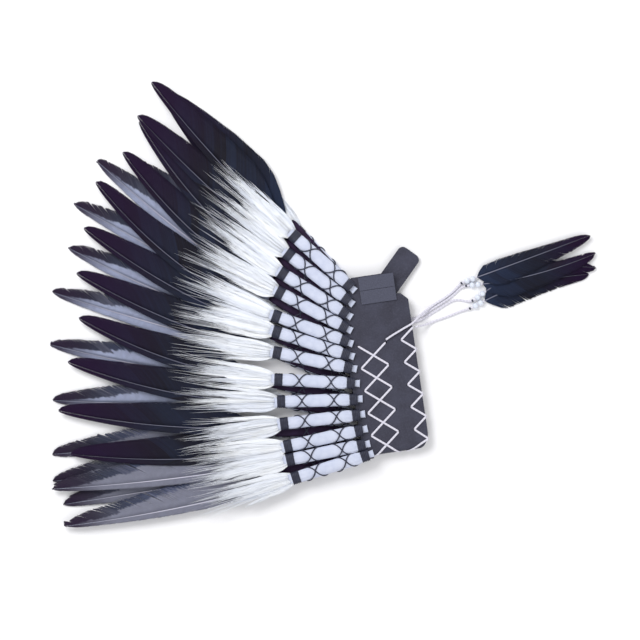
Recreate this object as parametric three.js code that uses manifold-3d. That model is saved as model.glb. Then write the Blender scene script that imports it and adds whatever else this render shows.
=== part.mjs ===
// Feathered headdress laid flat on its side: a leather headband folded at the forehead, with a
// near half on top of a far half, thirteen dressed feathers on each half, lacing and four drops.
// Millimetres, +Z up. The band's back closure points to +Y and the feathers reach to -X.
import * as THREE from "three";
import { mergeVertices } from "three/addons/utils/BufferGeometryUtils.js";
import Module from "manifold-3d";

const wasm = await Module();
wasm.setup();

// Clearance between pieces that touch
const GAP = 0.3;
const DEGREES = Math.PI / 180;

// Headband, laid folded in two
const HALF_LENGTH = 262;
const BAND_HEIGHT = 100;
const LEATHER = 2;
const HOLLOW = 10;
const BAND_LEAN = 8.4 * DEGREES;
const BAND_SLOPE = 2.9 * DEGREES;
const LOWER_EDGE_LIFT = 3.6;
const FOREHEAD = new THREE.Vector2(276.2, -203);
const FOREHEAD_RISE = 16;
const FOREHEAD_RISE_LENGTH = 25;
const BACK_TAB_LENGTH = 31;
const BACK_TAB_INSET = 19.3;

// Lacing of flat cotton lace through punched holes
const LACE_WIDTH = 3;
const LACE_THICKNESS = 1.2;
const LACE_CLEARANCE = 0.4;
const LACE_PINCH = 0.6;
const LACE_PITCH = 32.6;
const DIAMOND_TOP = 82;
const DIAMOND_FOOT = 41.5;
const EDGE_LACE_HEIGHT = 19;
const LACE_END = 5;
const EDGE_OVERHANG = 1.4;
const HOLE_CLEARANCE = 0.35;

// Closure at the back: two strips of loop tape and a closing tab
const TAPE_LENGTH = 51;
const TAPE_WIDTH = 19.4;
const TAPE_THICKNESS = 1.6;
const TAPE_SEAM = 0.5;
const TAPE_INSET = 16.5;
const TAPE_END_MARGIN = 1.2;
const TAB_WIDTH = 35;
const TAB_LENGTH = 93;
const TAB_CORNER = 8;
const TAB_TURN = -43.8 * DEGREES;
const TAB_ROOT_FROM_END = 42;
const TAB_ROOT_HEIGHT = 49;

// Cloth sleeve over each quill, bound with thread at both ends
const SLEEVE_LENGTH = 104.5;
const SLEEVE_WIDTH = 18.2;
const SLEEVE_THICKNESS = 12;
const SLEEVE_FULL = 0.4;
const BINDING_LENGTH = 12;
const LOWER_BINDING_WIDTH = 15;
const LOWER_BINDING_THICKNESS = 7;
const UPPER_BINDING_WIDTH = 17;
const UPPER_BINDING_THICKNESS = 10.6;
const MOUTH_LENGTH = 3.5;
const STUB_LENGTH = 7;
const STUB_WIDTH = 11;
const STUB_THICKNESS = 3.4;
const BINDING_CLEARANCE = 0.7;

// Quill feather
const FEATHER_LENGTH = 330;
const NARROW_VANE = 10;
const FAR_NARROW_VANE = 13;
const WIDE_VANE = 36;
const VANE_THICKNESS = 0.8;
const QUILL_THICKNESS = 3;
const FEATHER_ROLL = 5 * DEGREES;
const AXIS_BEND_AT = 0.45;

// White plume over the root of each feather
const PLUME_LENGTH = 128;
const PLUME_WIDTH = 28;
const PLUME_THICKNESS = 4.4;
const PLUME_SINK = 0.9;

// Heights above the floor at the mouth of a sleeve and at the tip of a feather
const FAR_SLEEVE_HEIGHT = SLEEVE_THICKNESS / 2;
const NEAR_SLEEVE_HEIGHT = 19.2;
const FAR_FEATHER_HEIGHT = 7;
const NEAR_FEATHER_HEIGHT = 16.5;
const FAR_TIP_HEIGHT = 2.4;
const NEAR_TIP_HEIGHT = 12.5;
const FAR_PLUME_HEIGHT = 2.9;
const NEAR_PLUME_HEIGHT = 21.4;

// Drops: four laces, each with two beads and a small feather
const DROP_LACE_DIAMETER = 3;
const BEAD_DIAMETER = 8.5;
const BEAD_SPACING = 8.8;
const BEAD_BORE = 4;
const BEAD_SHOULDER = 55 * DEGREES;
const BEAD_SIDES = 10;
const DROP_FEATHER_LENGTH = 168;
const DROP_NARROW_VANE = 9;
const DROP_WIDE_VANE = 19;
const DROP_QUILL_THICKNESS = 1.8;
const DROP_VANE_THICKNESS = 0.7;
const DROP_PILE_START = 0.12;

// Upper edge of the band from the forehead to the back end: along is a share of the half length,
// height a share of the band height
const CROWN = [
  { along: 0, height: 0.94 },
  { along: 0.08, height: 0.98 },
  { along: 0.45, height: 1.0 },
  { along: 0.6, height: 1.012 },
  { along: 0.75, height: 0.976 },
  { along: 0.82, height: 0.944 },
  { along: 0.89, height: 0.882 },
  { along: 0.96, height: 0.828 },
  { along: 1, height: 0.776 },
];

// Outline of a feather from its root to its tip: along is a share of its length, narrow and wide
// are shares of the two vane widths, quill a share of the quill's thickness
const FEATHER_OUTLINE = [
  { along: 0, narrow: 0.18, wide: 0.05, quill: 1 },
  { along: 0.1, narrow: 0.22, wide: 0.08, quill: 1 },
  { along: 0.22, narrow: 0.75, wide: 0.58, quill: 0.9 },
  { along: 0.4, narrow: 1, wide: 1, quill: 0.74 },
  { along: 0.6, narrow: 0.86, wide: 0.84, quill: 0.58 },
  { along: 0.78, narrow: 0.6, wide: 0.58, quill: 0.5 },
  { along: 0.93, narrow: 0.42, wide: 0.38, quill: 0.36 },
  { along: 1, narrow: 0.1, wide: 0.08, quill: 0.26 },
];

// Locks of a plume: turn from the plume's own direction in degrees, length, width and thickness
// as shares of the plume's
const PLUME_LOCKS = [
  { turn: 0, length: 1, width: 0.62, thickness: 1 },
  { turn: 6.5, length: 0.8, width: 0.44, thickness: 0.78 },
  { turn: -6.5, length: 0.74, width: 0.44, thickness: 0.78 },
];

// A far plume is pressed into one lock under its feather
const PRESSED_LOCK = [{ turn: 0, length: 0.9, width: 0.8, thickness: 1 }];

// Form of a lock from root to tip, as shares of its length, width and thickness
const LOCK_FORM = [
  { along: 0, width: 0.5, thickness: 0.8 },
  { along: 0.4, width: 1, thickness: 1 },
  { along: 0.78, width: 0.68, thickness: 0.6 },
  { along: 1, width: 0.14, thickness: 0.3 },
];

// Dressed feathers of the near half from the back end to the forehead: station is a share of the
// half length, lean the sleeve's angle above the left in degrees, length a share of the feather
// length, bend how far the feather turns from its sleeve, lift a rise of the tip in millimetres
// and plume how far the plume turns from the sleeve
const NEAR_FEATHERS = [
  { station: 0.963, lean: 42, length: 0.894, bend: 5.3, lift: 3.6, plume: 0 },
  { station: 0.889, lean: 37.5, length: 0.873, bend: 5.2, lift: 2.6, plume: 0 },
  { station: 0.816, lean: 32.5, length: 0.891, bend: 14.6, lift: 0, plume: 2 },
  { station: 0.74, lean: 27.9, length: 0.897, bend: 14.4, lift: 0, plume: -1 },
  { station: 0.664, lean: 19.5, length: 0.961, bend: 17.7, lift: 0, plume: 2 },
  { station: 0.589, lean: 17.8, length: 0.933, bend: 10.8, lift: 0, plume: -5 },
  { station: 0.515, lean: 11.7, length: 0.918, bend: 10.2, lift: 0, plume: -3 },
  { station: 0.428, lean: 2.7, length: 0.888, bend: 14.8, lift: 0, plume: 3 },
  { station: 0.336, lean: -1.6, length: 0.924, bend: 12.4, lift: 0, plume: 3 },
  { station: 0.249, lean: -6.7, length: 0.964, bend: 10.2, lift: 0, plume: -3 },
  { station: 0.163, lean: -12.3, length: 0.924, bend: 10.4, lift: 0, plume: 5 },
  { station: 0.082, lean: -11.6, length: 1.027, bend: 4.6, lift: 0, plume: -1 },
  { station: 0.016, lean: -17.5, length: 1.009, bend: 5.7, lift: 0, plume: 0 },
];

// Dressed feathers of the far half, in the same order and with the same columns, and leave, how far
// the feather turns from its sleeve at its root
const FAR_FEATHERS = [
  { station: 0.963, lean: 47, length: 0.836, leave: 0, bend: -1, lift: 0, plume: 1 },
  { station: 0.889, lean: 43.5, length: 0.858, leave: 0, bend: 0, lift: 0, plume: 0 },
  { station: 0.816, lean: 40, length: 0.852, leave: 0, bend: 4.3, lift: 0, plume: 0 },
  { station: 0.74, lean: 35.8, length: 0.848, leave: 0, bend: 3, lift: 0, plume: 0 },
  { station: 0.664, lean: 31.5, length: 1.009, leave: 0, bend: 6, lift: 0, plume: 0 },
  { station: 0.589, lean: 28.8, length: 1.03, leave: 0, bend: 0.2, lift: 0, plume: 0 },
  { station: 0.515, lean: 24, length: 1.003, leave: -7, bend: -1.1, lift: 0, plume: 0 },
  { station: 0.428, lean: 22.5, length: 1.036, leave: -11.5, bend: -7.4, lift: 0, plume: 0 },
  { station: 0.336, lean: 12.1, length: 1.018, leave: -8.4, bend: -2.5, lift: 0, plume: 0 },
  { station: 0.249, lean: 10.5, length: 1.003, leave: -13.9, bend: -10.4, lift: 0, plume: 0 },
  { station: 0.163, lean: -0.7, length: 1.015, leave: -6.9, bend: -5.1, lift: 0, plume: 0 },
  { station: 0.082, lean: -3, length: 1.03, leave: -5, bend: -5.1, lift: 0, plume: 0 },
  { station: 0.016, lean: -9.6, length: 1.009, leave: 0, bend: 0.4, lift: 0, plume: 0 },
];

// Routes of the four drop laces, chosen by hand, from the band to the small feathers
const DROP_ROUTES = [
  [
    [213, -48, 22.1], [221, -42.5, 22.2], [230, -37, 21.8], [240, -31, 21], [250.5, -24.8, 19.9],
    [257, -18.8, 18.2], [264, -12, 13.8], [271, -6, 8], [278, -1, 3.8], [286, 4.4, 1.8],
    [301, 13.8, 1.65], [313.5, 24, 1.9], [319.5, 31, 3], [325.3, 35, 4.3],
    [330.9, 37, 4.35], [339.2, 40, 4.35], [345, 42.1, 4.35],
  ],
  [
    [255.4, -29.5, 18.7], [259, -28.8, 16.9], [263.4, -28, 13], [268.8, -26.8, 8],
    [275, -25, 4], [283, -21.8, 1.9], [294, -18, 1.65], [308, -13, 1.65], [318, -9, 1.65],
    [325, -6.4, 1.9], [331.6, -4.2, 3], [337.7, -1.8, 4.3],
    [343, 1, 4.35], [350.8, 5.1, 4.35], [356.2, 7.9, 4.35],
  ],
  [
    [240, -19.5, 1.65], [249, -18.5, 1.65], [258, -16.5, 1.65], [267, -12.4, 1.65],
    [277, -6, 1.65], [289, 1.4, 1.65], [296.2, 5.9, 1.65], [303.5, 10.6, 1.65], [314, 19, 1.65],
    [320, 25, 1.9],
    [325.8, 28.6, 3], [332.2, 30.3, 4.3], [338.2, 30.9, 4.35], [347, 31.8, 4.35],
    [353.2, 32.4, 4.35],
  ],
  [
    [239, -25, 1.65], [249, -24, 1.65], [259, -21.8, 1.65], [269, -17, 1.65], [280, -10, 1.65],
    [292, -2.6, 1.65], [304, 4.8, 1.65], [313, 8.8, 1.65], [321, 9.2, 1.65], [329, 7.6, 1.9],
    [335.6, 7.4, 3], [341.6, 9.8, 4.3], [346.4, 13.3, 4.35], [353.4, 18.4, 4.35],
    [358.3, 21.9, 4.35],
  ],
];

// Small feathers of the drops: length is a share of the drop feather length, bend the turn of the
// tip to the left in degrees and height the level of the tip in the pile
const DROP_FEATHERS = [
  { length: 1.04, bend: -0.5, height: 7.4 },
  { length: 0.93, bend: 13.5, height: 1.7 },
  { length: 1.01, bend: -9.3, height: 5.5 },
  { length: 0.97, bend: 24, height: 3.6 },
];
const DROP_ORDER = ["1", "4", "2", "3"];

const colours = {
  leather: 0x45454f,
  tape: 0x60626c,
  lace: 0xeeeef6,
  cloth: 0xd7dae8,
  black: 0x23202d,
  silver: 0x8c8ea6,
  bead: 0xf5f8ff,
};

// A material of its own for each piece
function finish(colour, roughness) {
  return new THREE.MeshStandardMaterial({ color: colour, roughness, metalness: 0 });
}

// A value read from a table, straight between its rows
function read(table, share, column) {
  const after = table.findIndex((row) => row.along >= share);
  if (after <= 0) return after === 0 ? table[0][column] : table.at(-1)[column];
  const before = table[after - 1];
  const part = (share - before.along) / (table[after].along - before.along);
  return THREE.MathUtils.lerp(before[column], table[after][column], part);
}

// A closed solid through sections of equally many points, given anticlockwise as seen from the end
function loft(sections) {
  const count = sections[0].length;
  const last = (sections.length - 1) * count;
  const index = [];
  for (let i = 0; i < last; i += count) {
    for (let j = 0; j < count; j += 1) {
      const next = (j + 1) % count;
      index.push(i + j, i + next, i + count + next, i + j, i + count + next, i + count + j);
    }
  }
  for (let j = 1; j < count - 1; j += 1) {
    index.push(0, j + 1, j, last, last + j, last + j + 1);
  }
  const geometry = new THREE.BufferGeometry();
  geometry.setAttribute("position", new THREE.Float32BufferAttribute(sections.flat(2), 3));
  geometry.setIndex(index);
  return geometry;
}

function toSolid(geometry) {
  const bare = geometry.clone();
  bare.deleteAttribute("normal");
  bare.deleteAttribute("uv");
  const merged = mergeVertices(bare, 1e-4);
  const vertProperties = new Float32Array(merged.attributes.position.array);
  const triVerts = new Uint32Array(merged.index.array);
  return new wasm.Manifold(new wasm.Mesh({ numProp: 3, vertProperties, triVerts }));
}

function toGeometry(solid) {
  const mesh = solid.getMesh();
  const geometry = new THREE.BufferGeometry();
  geometry.setAttribute("position", new THREE.Float32BufferAttribute(mesh.vertProperties, 3));
  geometry.setIndex(Array.from(mesh.triVerts));
  geometry.computeVertexNormals();
  return geometry;
}

// Several geometries joined into one body
function fuse(geometries) {
  const [first, ...rest] = geometries.map(toSolid);
  return toGeometry(rest.reduce((whole, piece) => whole.add(piece), first));
}

function piece(name, geometry, material) {
  const mesh = new THREE.Mesh(geometry, material);
  mesh.name = name;
  return mesh;
}

// Band
const OUTER_RADIUS = HOLLOW / 2 + LEATHER;
const FOLD_ARC = (OUTER_RADIUS * Math.PI) / 2;
const FOLD_STEPS = 6;
const foldStations = Array.from({ length: FOLD_STEPS + 1 }, (_, i) => (i * FOLD_ARC) / FOLD_STEPS);

// A point of the band: along the strip from the forehead (positive on the near half), up the
// band from its lower edge, and out from the leather's outer face
function onBand(along, up, out) {
  const reach = Math.abs(along) - FOLD_ARC;
  if (reach >= 0) {
    const level = along > 0 ? 2 * OUTER_RADIUS + out : -out;
    return [OUTER_RADIUS + reach, up, level];
  }
  const turn = along / OUTER_RADIUS;
  const radius = OUTER_RADIUS + out;
  return [OUTER_RADIUS - radius * Math.cos(turn), up, OUTER_RADIUS + radius * Math.sin(turn)];
}

function wrapLine(along) {
  return BAND_HEIGHT * read(CROWN, Math.abs(along) / HALF_LENGTH, "height");
}

function upperEdge(along) {
  return wrapLine(along) - LEATHER / 2;
}

// The lower edge rises at the forehead, is cut off at the corner and steps in at the back
function lowerEdge(along) {
  const distance = Math.abs(along);
  const step = HALF_LENGTH - BACK_TAB_LENGTH;
  const corner = BACK_TAB_INSET / 2;
  if (distance < FOREHEAD_RISE_LENGTH) {
    return FOREHEAD_RISE * (1 - distance / FOREHEAD_RISE_LENGTH) ** 2;
  }
  if (distance > step) return BACK_TAB_INSET;
  return Math.max(0, corner - (step - 1 - distance));
}

// Punched hole or the lace in it
function stitch(along, up, size, from, to) {
  const half = size / 2;
  const square = [[half, half], [-half, half], [-half, -half], [half, -half]];
  const at = (out) => square.map(([a, b]) => onBand(along + a, up + b, out));
  return loft([at(from), at(to)]);
}

// Corners of one zigzag of the diamonds. The two zigzags differ in phase by one corner
function laceCorners(phase) {
  const corners = [];
  for (let i = -LACE_END; i <= LACE_END; i += 1) {
    const high = (i + LACE_END + phase) % 2 === 0;
    corners.push({ along: i * LACE_PITCH, up: high ? DIAMOND_TOP : DIAMOND_FOOT });
  }
  return corners;
}

function edgeCorners() {
  const corners = [];
  for (let i = -2 * LACE_END - 1; i <= 2 * LACE_END + 1; i += 1) {
    const along = (i * LACE_PITCH) / 2;
    const inner = i % 2 === 0;
    const edge = lowerEdge(along) - EDGE_OVERHANG;
    corners.push({ along, up: inner ? lowerEdge(along) + EDGE_LACE_HEIGHT : edge, inner });
  }
  return corners;
}

// Extra points where a straight run of lace goes round the fold
function roundFold(corners) {
  const folds = [...foldStations.slice(1).reverse().map((station) => -station), ...foldStations];
  const route = [corners[0]];
  for (let i = 1; i < corners.length; i += 1) {
    const [a, b] = [corners[i - 1], corners[i]];
    for (const along of folds) {
      if (along > a.along && along < b.along) {
        const part = (along - a.along) / (b.along - a.along);
        route.push({ along, up: THREE.MathUtils.lerp(a.up, b.up, part) });
      }
    }
    route.push(b);
  }
  return route;
}

// A flat lace lying on the outer face along a route, mitred at its corners
function laceStrip(corners) {
  const route = roundFold(corners).map((corner) => new THREE.Vector2(corner.along, corner.up));
  const sections = route.map((point, i) => {
    const before = point.clone().sub(route[Math.max(i - 1, 0)]).normalize();
    const after = route[Math.min(i + 1, route.length - 1)].clone().sub(point).normalize();
    const direction = before.clone().add(after).normalize();
    const normal = new THREE.Vector2(-direction.y, direction.x);
    const straight = i === 0 ? after : before;
    const mitre = Math.abs(straight.dot(direction));
    const reach = LACE_WIDTH / 2 / Math.max(mitre, 0.5);
    const left = point.clone().addScaledVector(normal, reach);
    const right = point.clone().addScaledVector(normal, -reach);
    return [
      onBand(left.x, left.y, LACE_CLEARANCE),
      onBand(left.x, left.y, LACE_CLEARANCE + LACE_THICKNESS),
      onBand(right.x, right.y, LACE_CLEARANCE + LACE_THICKNESS),
      onBand(right.x, right.y, LACE_CLEARANCE),
    ];
  });
  return loft(sections);
}

const diamondRoutes = [laceCorners(0), laceCorners(1)];
const edgeRoute = edgeCorners();
const stitchSize = LACE_WIDTH - LACE_PINCH;
const holes = [...diamondRoutes.flat(), ...edgeRoute.filter((corner) => corner.inner)];

function diamondLacing() {
  const strips = diamondRoutes.map(laceStrip);
  const stitches = diamondRoutes.flat().map(({ along, up }) =>
    stitch(along, up, stitchSize, -LEATHER, LACE_CLEARANCE + LACE_THICKNESS / 2));
  return fuse([...strips, ...stitches]);
}

// The lace at the lower edge goes over the edge between its stitches
function edgeLacing() {
  const over = edgeRoute.filter((corner) => !corner.inner).map(({ along, up }) => {
    const half = LACE_WIDTH / 2;
    const rim = [
      [-half, up - GAP], [-half, lowerEdge(along - half) - GAP],
      [half, lowerEdge(along + half) - GAP], [half, up - GAP],
    ];
    const at = (out) => rim.map(([a, b]) => onBand(along + a, b, out)).reverse();
    return loft([at(-LEATHER), at(LACE_CLEARANCE + LACE_THICKNESS / 2)]);
  });
  const stitches = edgeRoute.filter((corner) => corner.inner).map(({ along, up }) =>
    stitch(along, up, stitchSize, -LEATHER, LACE_CLEARANCE + LACE_THICKNESS / 2));
  return fuse([laceStrip(edgeRoute), ...over, ...stitches]);
}

function headband() {
  const step = HALF_LENGTH - BACK_TAB_LENGTH;
  const corner = BACK_TAB_INSET / 2;
  const half = [
    ...foldStations, (FOLD_ARC + FOREHEAD_RISE_LENGTH) / 2, FOREHEAD_RISE_LENGTH,
    ...CROWN.slice(2, -3).map((row) => row.along * HALF_LENGTH),
    step - 1 - corner, step - 1, step + 0.01, CROWN.at(-2).along * HALF_LENGTH, HALF_LENGTH,
  ];
  const stations = [...half.slice(1).reverse().map((along) => -along), ...half];
  const sections = stations.map((along) => {
    const [low, high] = [lowerEdge(along), upperEdge(along)];
    return [
      onBand(along, high, -LEATHER), onBand(along, high, 0),
      onBand(along, low, 0), onBand(along, low, -LEATHER),
    ];
  });
  const size = stitchSize + 2 * HOLE_CLEARANCE;
  const punch = ({ along, up }) => toSolid(stitch(along, up, size, -2 * LEATHER, LEATHER));
  const leather = toSolid(loft(sections));
  return toGeometry(holes.reduce((strip, hole) => strip.subtract(punch(hole)), leather));
}

// A flat plate with round corners, its thickness along +Z
function plate(length, width, corner, thickness) {
  const shape = new THREE.Shape();
  const half = width / 2;
  shape.moveTo(corner, -half);
  shape.lineTo(length - corner, -half);
  shape.absarc(length - corner, corner - half, corner, -Math.PI / 2, 0);
  shape.absarc(length - corner, half - corner, corner, 0, Math.PI / 2);
  shape.lineTo(corner, half);
  shape.absarc(corner, half - corner, corner, Math.PI / 2, Math.PI);
  shape.absarc(corner, corner - half, corner, Math.PI, 1.5 * Math.PI);
  const settings = { depth: thickness, bevelEnabled: false, curveSegments: 2 };
  return new THREE.ExtrudeGeometry(shape, settings);
}

const BACK_END = OUTER_RADIUS + HALF_LENGTH - FOLD_ARC;

function closure() {
  const nearFace = 2 * OUTER_RADIUS + GAP;
  const tapes = ["loop_tape_inner", "loop_tape_outer"].map((name, i) => {
    const strip = new THREE.BoxGeometry(TAPE_WIDTH, TAPE_LENGTH, TAPE_THICKNESS);
    const tape = piece(name, strip, finish(colours.tape, 0.95));
    const across = BACK_END - TAPE_END_MARGIN - (1.5 - i) * TAPE_WIDTH - (1 - i) * TAPE_SEAM;
    tape.position.set(across, TAPE_INSET + TAPE_LENGTH / 2, nearFace + TAPE_THICKNESS / 2);
    return tape;
  });
  const tabPlate = plate(TAB_LENGTH, TAB_WIDTH, TAB_CORNER, LEATHER);
  const tab = piece("closing_tab", tabPlate, finish(colours.leather, 0.6));
  tab.position.set(BACK_END - TAB_ROOT_FROM_END, TAB_ROOT_HEIGHT, LEATHER + GAP);
  tab.rotation.z = TAB_TURN;
  return [...tapes, tab];
}

// Sleeve, feather and plume, in a frame whose +X runs along the sleeve from its lower binding and
// whose +Y is the side of the feather's narrow vane

function oval(x, halfWidth, halfThickness, z, sides) {
  const scale = 1 / Math.cos(Math.PI / sides);
  return Array.from({ length: sides }, (_, i) => {
    const angle = ((i + 0.5) * 2 * Math.PI) / sides;
    return [x, halfWidth * scale * Math.cos(angle), z + halfThickness * scale * Math.sin(angle)];
  });
}

// Heights: bandFace is the leather's face that the lower binding lies on, side 1 for near
function sleeve(bandFace, mouthHeight, side) {
  const binding = BINDING_LENGTH / 2;
  const lowerHeight = bandFace + side * (BINDING_CLEARANCE + LOWER_BINDING_THICKNESS / 2);
  const stubHeight = bandFace + side * (BINDING_CLEARANCE + STUB_THICKNESS / 2);
  const stubDrop = (BINDING_LENGTH / 2 + STUB_LENGTH) * Math.sin(BAND_SLOPE);
  const rows = [
    [-binding - STUB_LENGTH, STUB_WIDTH, STUB_THICKNESS, stubHeight - (side < 0 ? stubDrop : 0)],
    [-binding, LOWER_BINDING_WIDTH, LOWER_BINDING_THICKNESS, lowerHeight],
    [binding, LOWER_BINDING_WIDTH, LOWER_BINDING_THICKNESS, lowerHeight],
    [SLEEVE_LENGTH * SLEEVE_FULL, SLEEVE_WIDTH, SLEEVE_THICKNESS, null],
    [SLEEVE_LENGTH - binding, UPPER_BINDING_WIDTH, UPPER_BINDING_THICKNESS, null],
    [SLEEVE_LENGTH + binding, UPPER_BINDING_WIDTH, UPPER_BINDING_THICKNESS, mouthHeight],
    [SLEEVE_LENGTH + binding + MOUTH_LENGTH, SLEEVE_WIDTH, UPPER_BINDING_THICKNESS, mouthHeight],
  ];
  const sections = rows.map(([x, width, thickness, height]) => {
    const part = THREE.MathUtils.clamp((x - binding) / (SLEEVE_LENGTH - 2 * binding), 0, 1);
    const level = height ?? THREE.MathUtils.lerp(lowerHeight, mouthHeight, part);
    const onFloor = side < 0 && x > binding;
    return oval(x, width / 2, thickness / 2, onFloor ? thickness / 2 : level, 8);
  });
  return loft(sections);
}

const MOUTH = SLEEVE_LENGTH + BINDING_LENGTH / 2 + MOUTH_LENGTH;

// A feather along a gentle arc, which leaves its root by one turn and has its tip by another. It
// reaches the height of its tip at a share of its length
function feather(size, root, length, { leave = 0, bend }, [rootHeight, tipHeight, level], roll) {
  const start = new THREE.Vector2(root, 0);
  const away = (reach, turn) => new THREE.Vector2(length * reach, 0)
    .rotateAround(new THREE.Vector2(), -turn * DEGREES).add(start);
  const curve = new THREE.QuadraticBezierCurve(start, away(AXIS_BEND_AT, leave), away(1, bend));
  const sections = FEATHER_OUTLINE.map((row) => {
    const point = curve.getPoint(row.along);
    const tangent = curve.getTangent(row.along);
    const fall = Math.min(row.along / level, 1) ** 2;
    const height = THREE.MathUtils.lerp(rootHeight, tipHeight, fall);
    const half = size.vane / 2;
    const ridge = (size.quill * row.quill) / 2;
    const narrow = size.narrow * row.narrow;
    const wide = -size.wide * row.wide;
    const place = (across, out) => [
      point.x - tangent.y * across,
      point.y + tangent.x * across,
      height + across * Math.sin(roll) + out,
    ];
    return [
      place(narrow, half), place(0, ridge), place(wide, half),
      place(wide, -half), place(0, -ridge), place(narrow, -half),
    ];
  });
  return loft(sections);
}

const quillFeather = {
  narrow: NARROW_VANE, wide: WIDE_VANE, vane: VANE_THICKNESS, quill: QUILL_THICKNESS,
};
const farFeather = { ...quillFeather, narrow: FAR_NARROW_VANE };
const dropFeather = {
  narrow: DROP_NARROW_VANE,
  wide: DROP_WIDE_VANE,
  vane: DROP_VANE_THICKNESS,
  quill: DROP_QUILL_THICKNESS,
};

// The locks of a plume start inside the sleeve's mouth and sink a little towards their tips
function plumeLocks(locks, turnFromSleeve, height) {
  const root = MOUTH - MOUTH_LENGTH;
  return locks.map((lock) => {
    const turn = -(turnFromSleeve + lock.turn) * DEGREES;
    const length = PLUME_LENGTH * lock.length;
    const sections = LOCK_FORM.map((row) => {
      const distance = length * row.along;
      const width = (PLUME_WIDTH * lock.width * row.width) / 2;
      const thickness = (PLUME_THICKNESS * lock.thickness * row.thickness) / 2;
      const level = height - (PLUME_THICKNESS / 2 - thickness) * PLUME_SINK;
      return oval(distance, width, thickness, level, 4).map(([x, y, z]) => [
        root + x * Math.cos(turn) - y * Math.sin(turn),
        x * Math.sin(turn) + y * Math.cos(turn),
        z,
      ]);
    });
    return loft(sections);
  });
}

const band = new THREE.Group();
band.position.set(FOREHEAD.x, FOREHEAD.y, LOWER_EDGE_LIFT);
band.rotation.order = "ZYX";
band.rotation.set(BAND_SLOPE, 0, Math.PI / 2 + BAND_LEAN);
band.updateMatrixWorld(true);
band.add(piece("headband", headband(), finish(colours.leather, 0.6)));
band.add(piece("diamond_lacing", diamondLacing(), finish(colours.lace, 0.8)));
band.add(piece("edge_lacing", edgeLacing(), finish(colours.lace, 0.8)));
band.add(...closure());

const headdress = new THREE.Group();
headdress.add(band);

// The frame of one dressed feather, at its place on the band
function dressedFrame(row, side) {
  const along = row.station * HALF_LENGTH * side;
  const face = new THREE.Vector3(...onBand(along, wrapLine(along), 0));
  face.applyMatrix4(band.matrixWorld);
  const frame = new THREE.Group();
  frame.position.set(face.x, face.y, 0);
  frame.rotation.z = Math.PI - row.lean * DEGREES;
  const flat = onBand(HALF_LENGTH * side, wrapLine(along), 0);
  const level = new THREE.Vector3(...flat).applyMatrix4(band.matrixWorld).z;
  return { frame, level };
}

NEAR_FEATHERS.forEach((row, i) => {
  const { frame, level } = dressedFrame(row, 1);
  const number = String(i + 1).padStart(2, "0");
  const locks = plumeLocks(PLUME_LOCKS, row.plume, NEAR_PLUME_HEIGHT);
  const dressed = fuse([sleeve(level, NEAR_SLEEVE_HEIGHT, 1), ...locks]);
  const quill = feather(quillFeather, MOUTH + GAP, FEATHER_LENGTH * row.length, row,
    [NEAR_FEATHER_HEIGHT, NEAR_TIP_HEIGHT + row.lift, 1], FEATHER_ROLL);
  frame.add(piece(`near_sleeve_${number}`, dressed, finish(colours.cloth, 0.9)));
  frame.add(piece(`near_feather_${number}`, quill, finish(colours.black, 0.55)));
  headdress.add(frame);
});

FAR_FEATHERS.forEach((row, i) => {
  const { frame, level } = dressedFrame(row, -1);
  const number = String(i + 1).padStart(2, "0");
  const locks = plumeLocks(PRESSED_LOCK, row.plume, FAR_PLUME_HEIGHT);
  const quill = feather(farFeather, MOUTH - MOUTH_LENGTH, FEATHER_LENGTH * row.length, row,
    [FAR_FEATHER_HEIGHT, FAR_TIP_HEIGHT + row.lift, 1], -FEATHER_ROLL);
  const dressed = fuse([sleeve(level, FAR_SLEEVE_HEIGHT, -1), ...locks, quill]);
  frame.add(piece(`far_feather_${number}`, dressed, finish(colours.silver, 0.6)));
  headdress.add(frame);
});

// The object stands at the middle of its footprint, without the drops
const extent = new THREE.Box3().setFromObject(headdress, true);
const centre = extent.getCenter(new THREE.Vector3());

// Two beads on one lace, drilled along it
function beadPair() {
  const radius = BEAD_DIAMETER / 2;
  const bore = BEAD_BORE / 2;
  const outline = [];
  for (const middle of [-BEAD_SPACING / 2, BEAD_SPACING / 2]) {
    for (const turn of [-BEAD_SHOULDER, 0, BEAD_SHOULDER]) {
      outline.push(new THREE.Vector2(radius * Math.cos(turn), middle + radius * Math.sin(turn)));
    }
  }
  const ends = BEAD_SPACING / 2 + radius * Math.sin(BEAD_SHOULDER);
  const start = new THREE.Vector2(bore, -ends);
  const profile = [start, ...outline, new THREE.Vector2(bore, ends), start];
  return new THREE.LatheGeometry(profile, BEAD_SIDES);
}

function dropLace(route) {
  const curve = new THREE.CatmullRomCurve3(route, false, "centripetal");
  const radius = DROP_LACE_DIAMETER / 2;
  const steps = Math.round(curve.getLength() / (3 * DROP_LACE_DIAMETER));
  const section = new THREE.Shape();
  section.absarc(0, 0, radius, 0, 2 * Math.PI);
  const settings = { steps, extrudePath: curve, curveSegments: 4, bevelEnabled: false };
  return new THREE.ExtrudeGeometry(section, settings);
}

function drop(points, row, number) {
  const route = points.map((point) => new THREE.Vector3(...point));
  const group = new THREE.Group();
  const [first, second, end] = route.slice(-3);
  const direction = second.clone().sub(first).normalize();
  const beads = piece(`bead_pair_${number}`, beadPair(), finish(colours.bead, 0.3));
  beads.position.copy(first.clone().add(second).multiplyScalar(0.5));
  beads.quaternion.setFromUnitVectors(new THREE.Vector3(0, 1, 0), direction);
  const length = DROP_FEATHER_LENGTH * row.length;
  const small = feather(dropFeather, 0, length, row, [end.z, row.height, DROP_PILE_START], 0);
  const leaf = piece(`drop_feather_${number}`, small, finish(colours.black, 0.5));
  leaf.position.set(end.x + GAP * direction.x, end.y + GAP * direction.y, 0);
  leaf.rotation.z = Math.atan2(direction.y, direction.x);
  group.add(piece(`drop_lace_${number}`, dropLace(route), finish(colours.lace, 0.8)), beads, leaf);
  return group;
}

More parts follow.
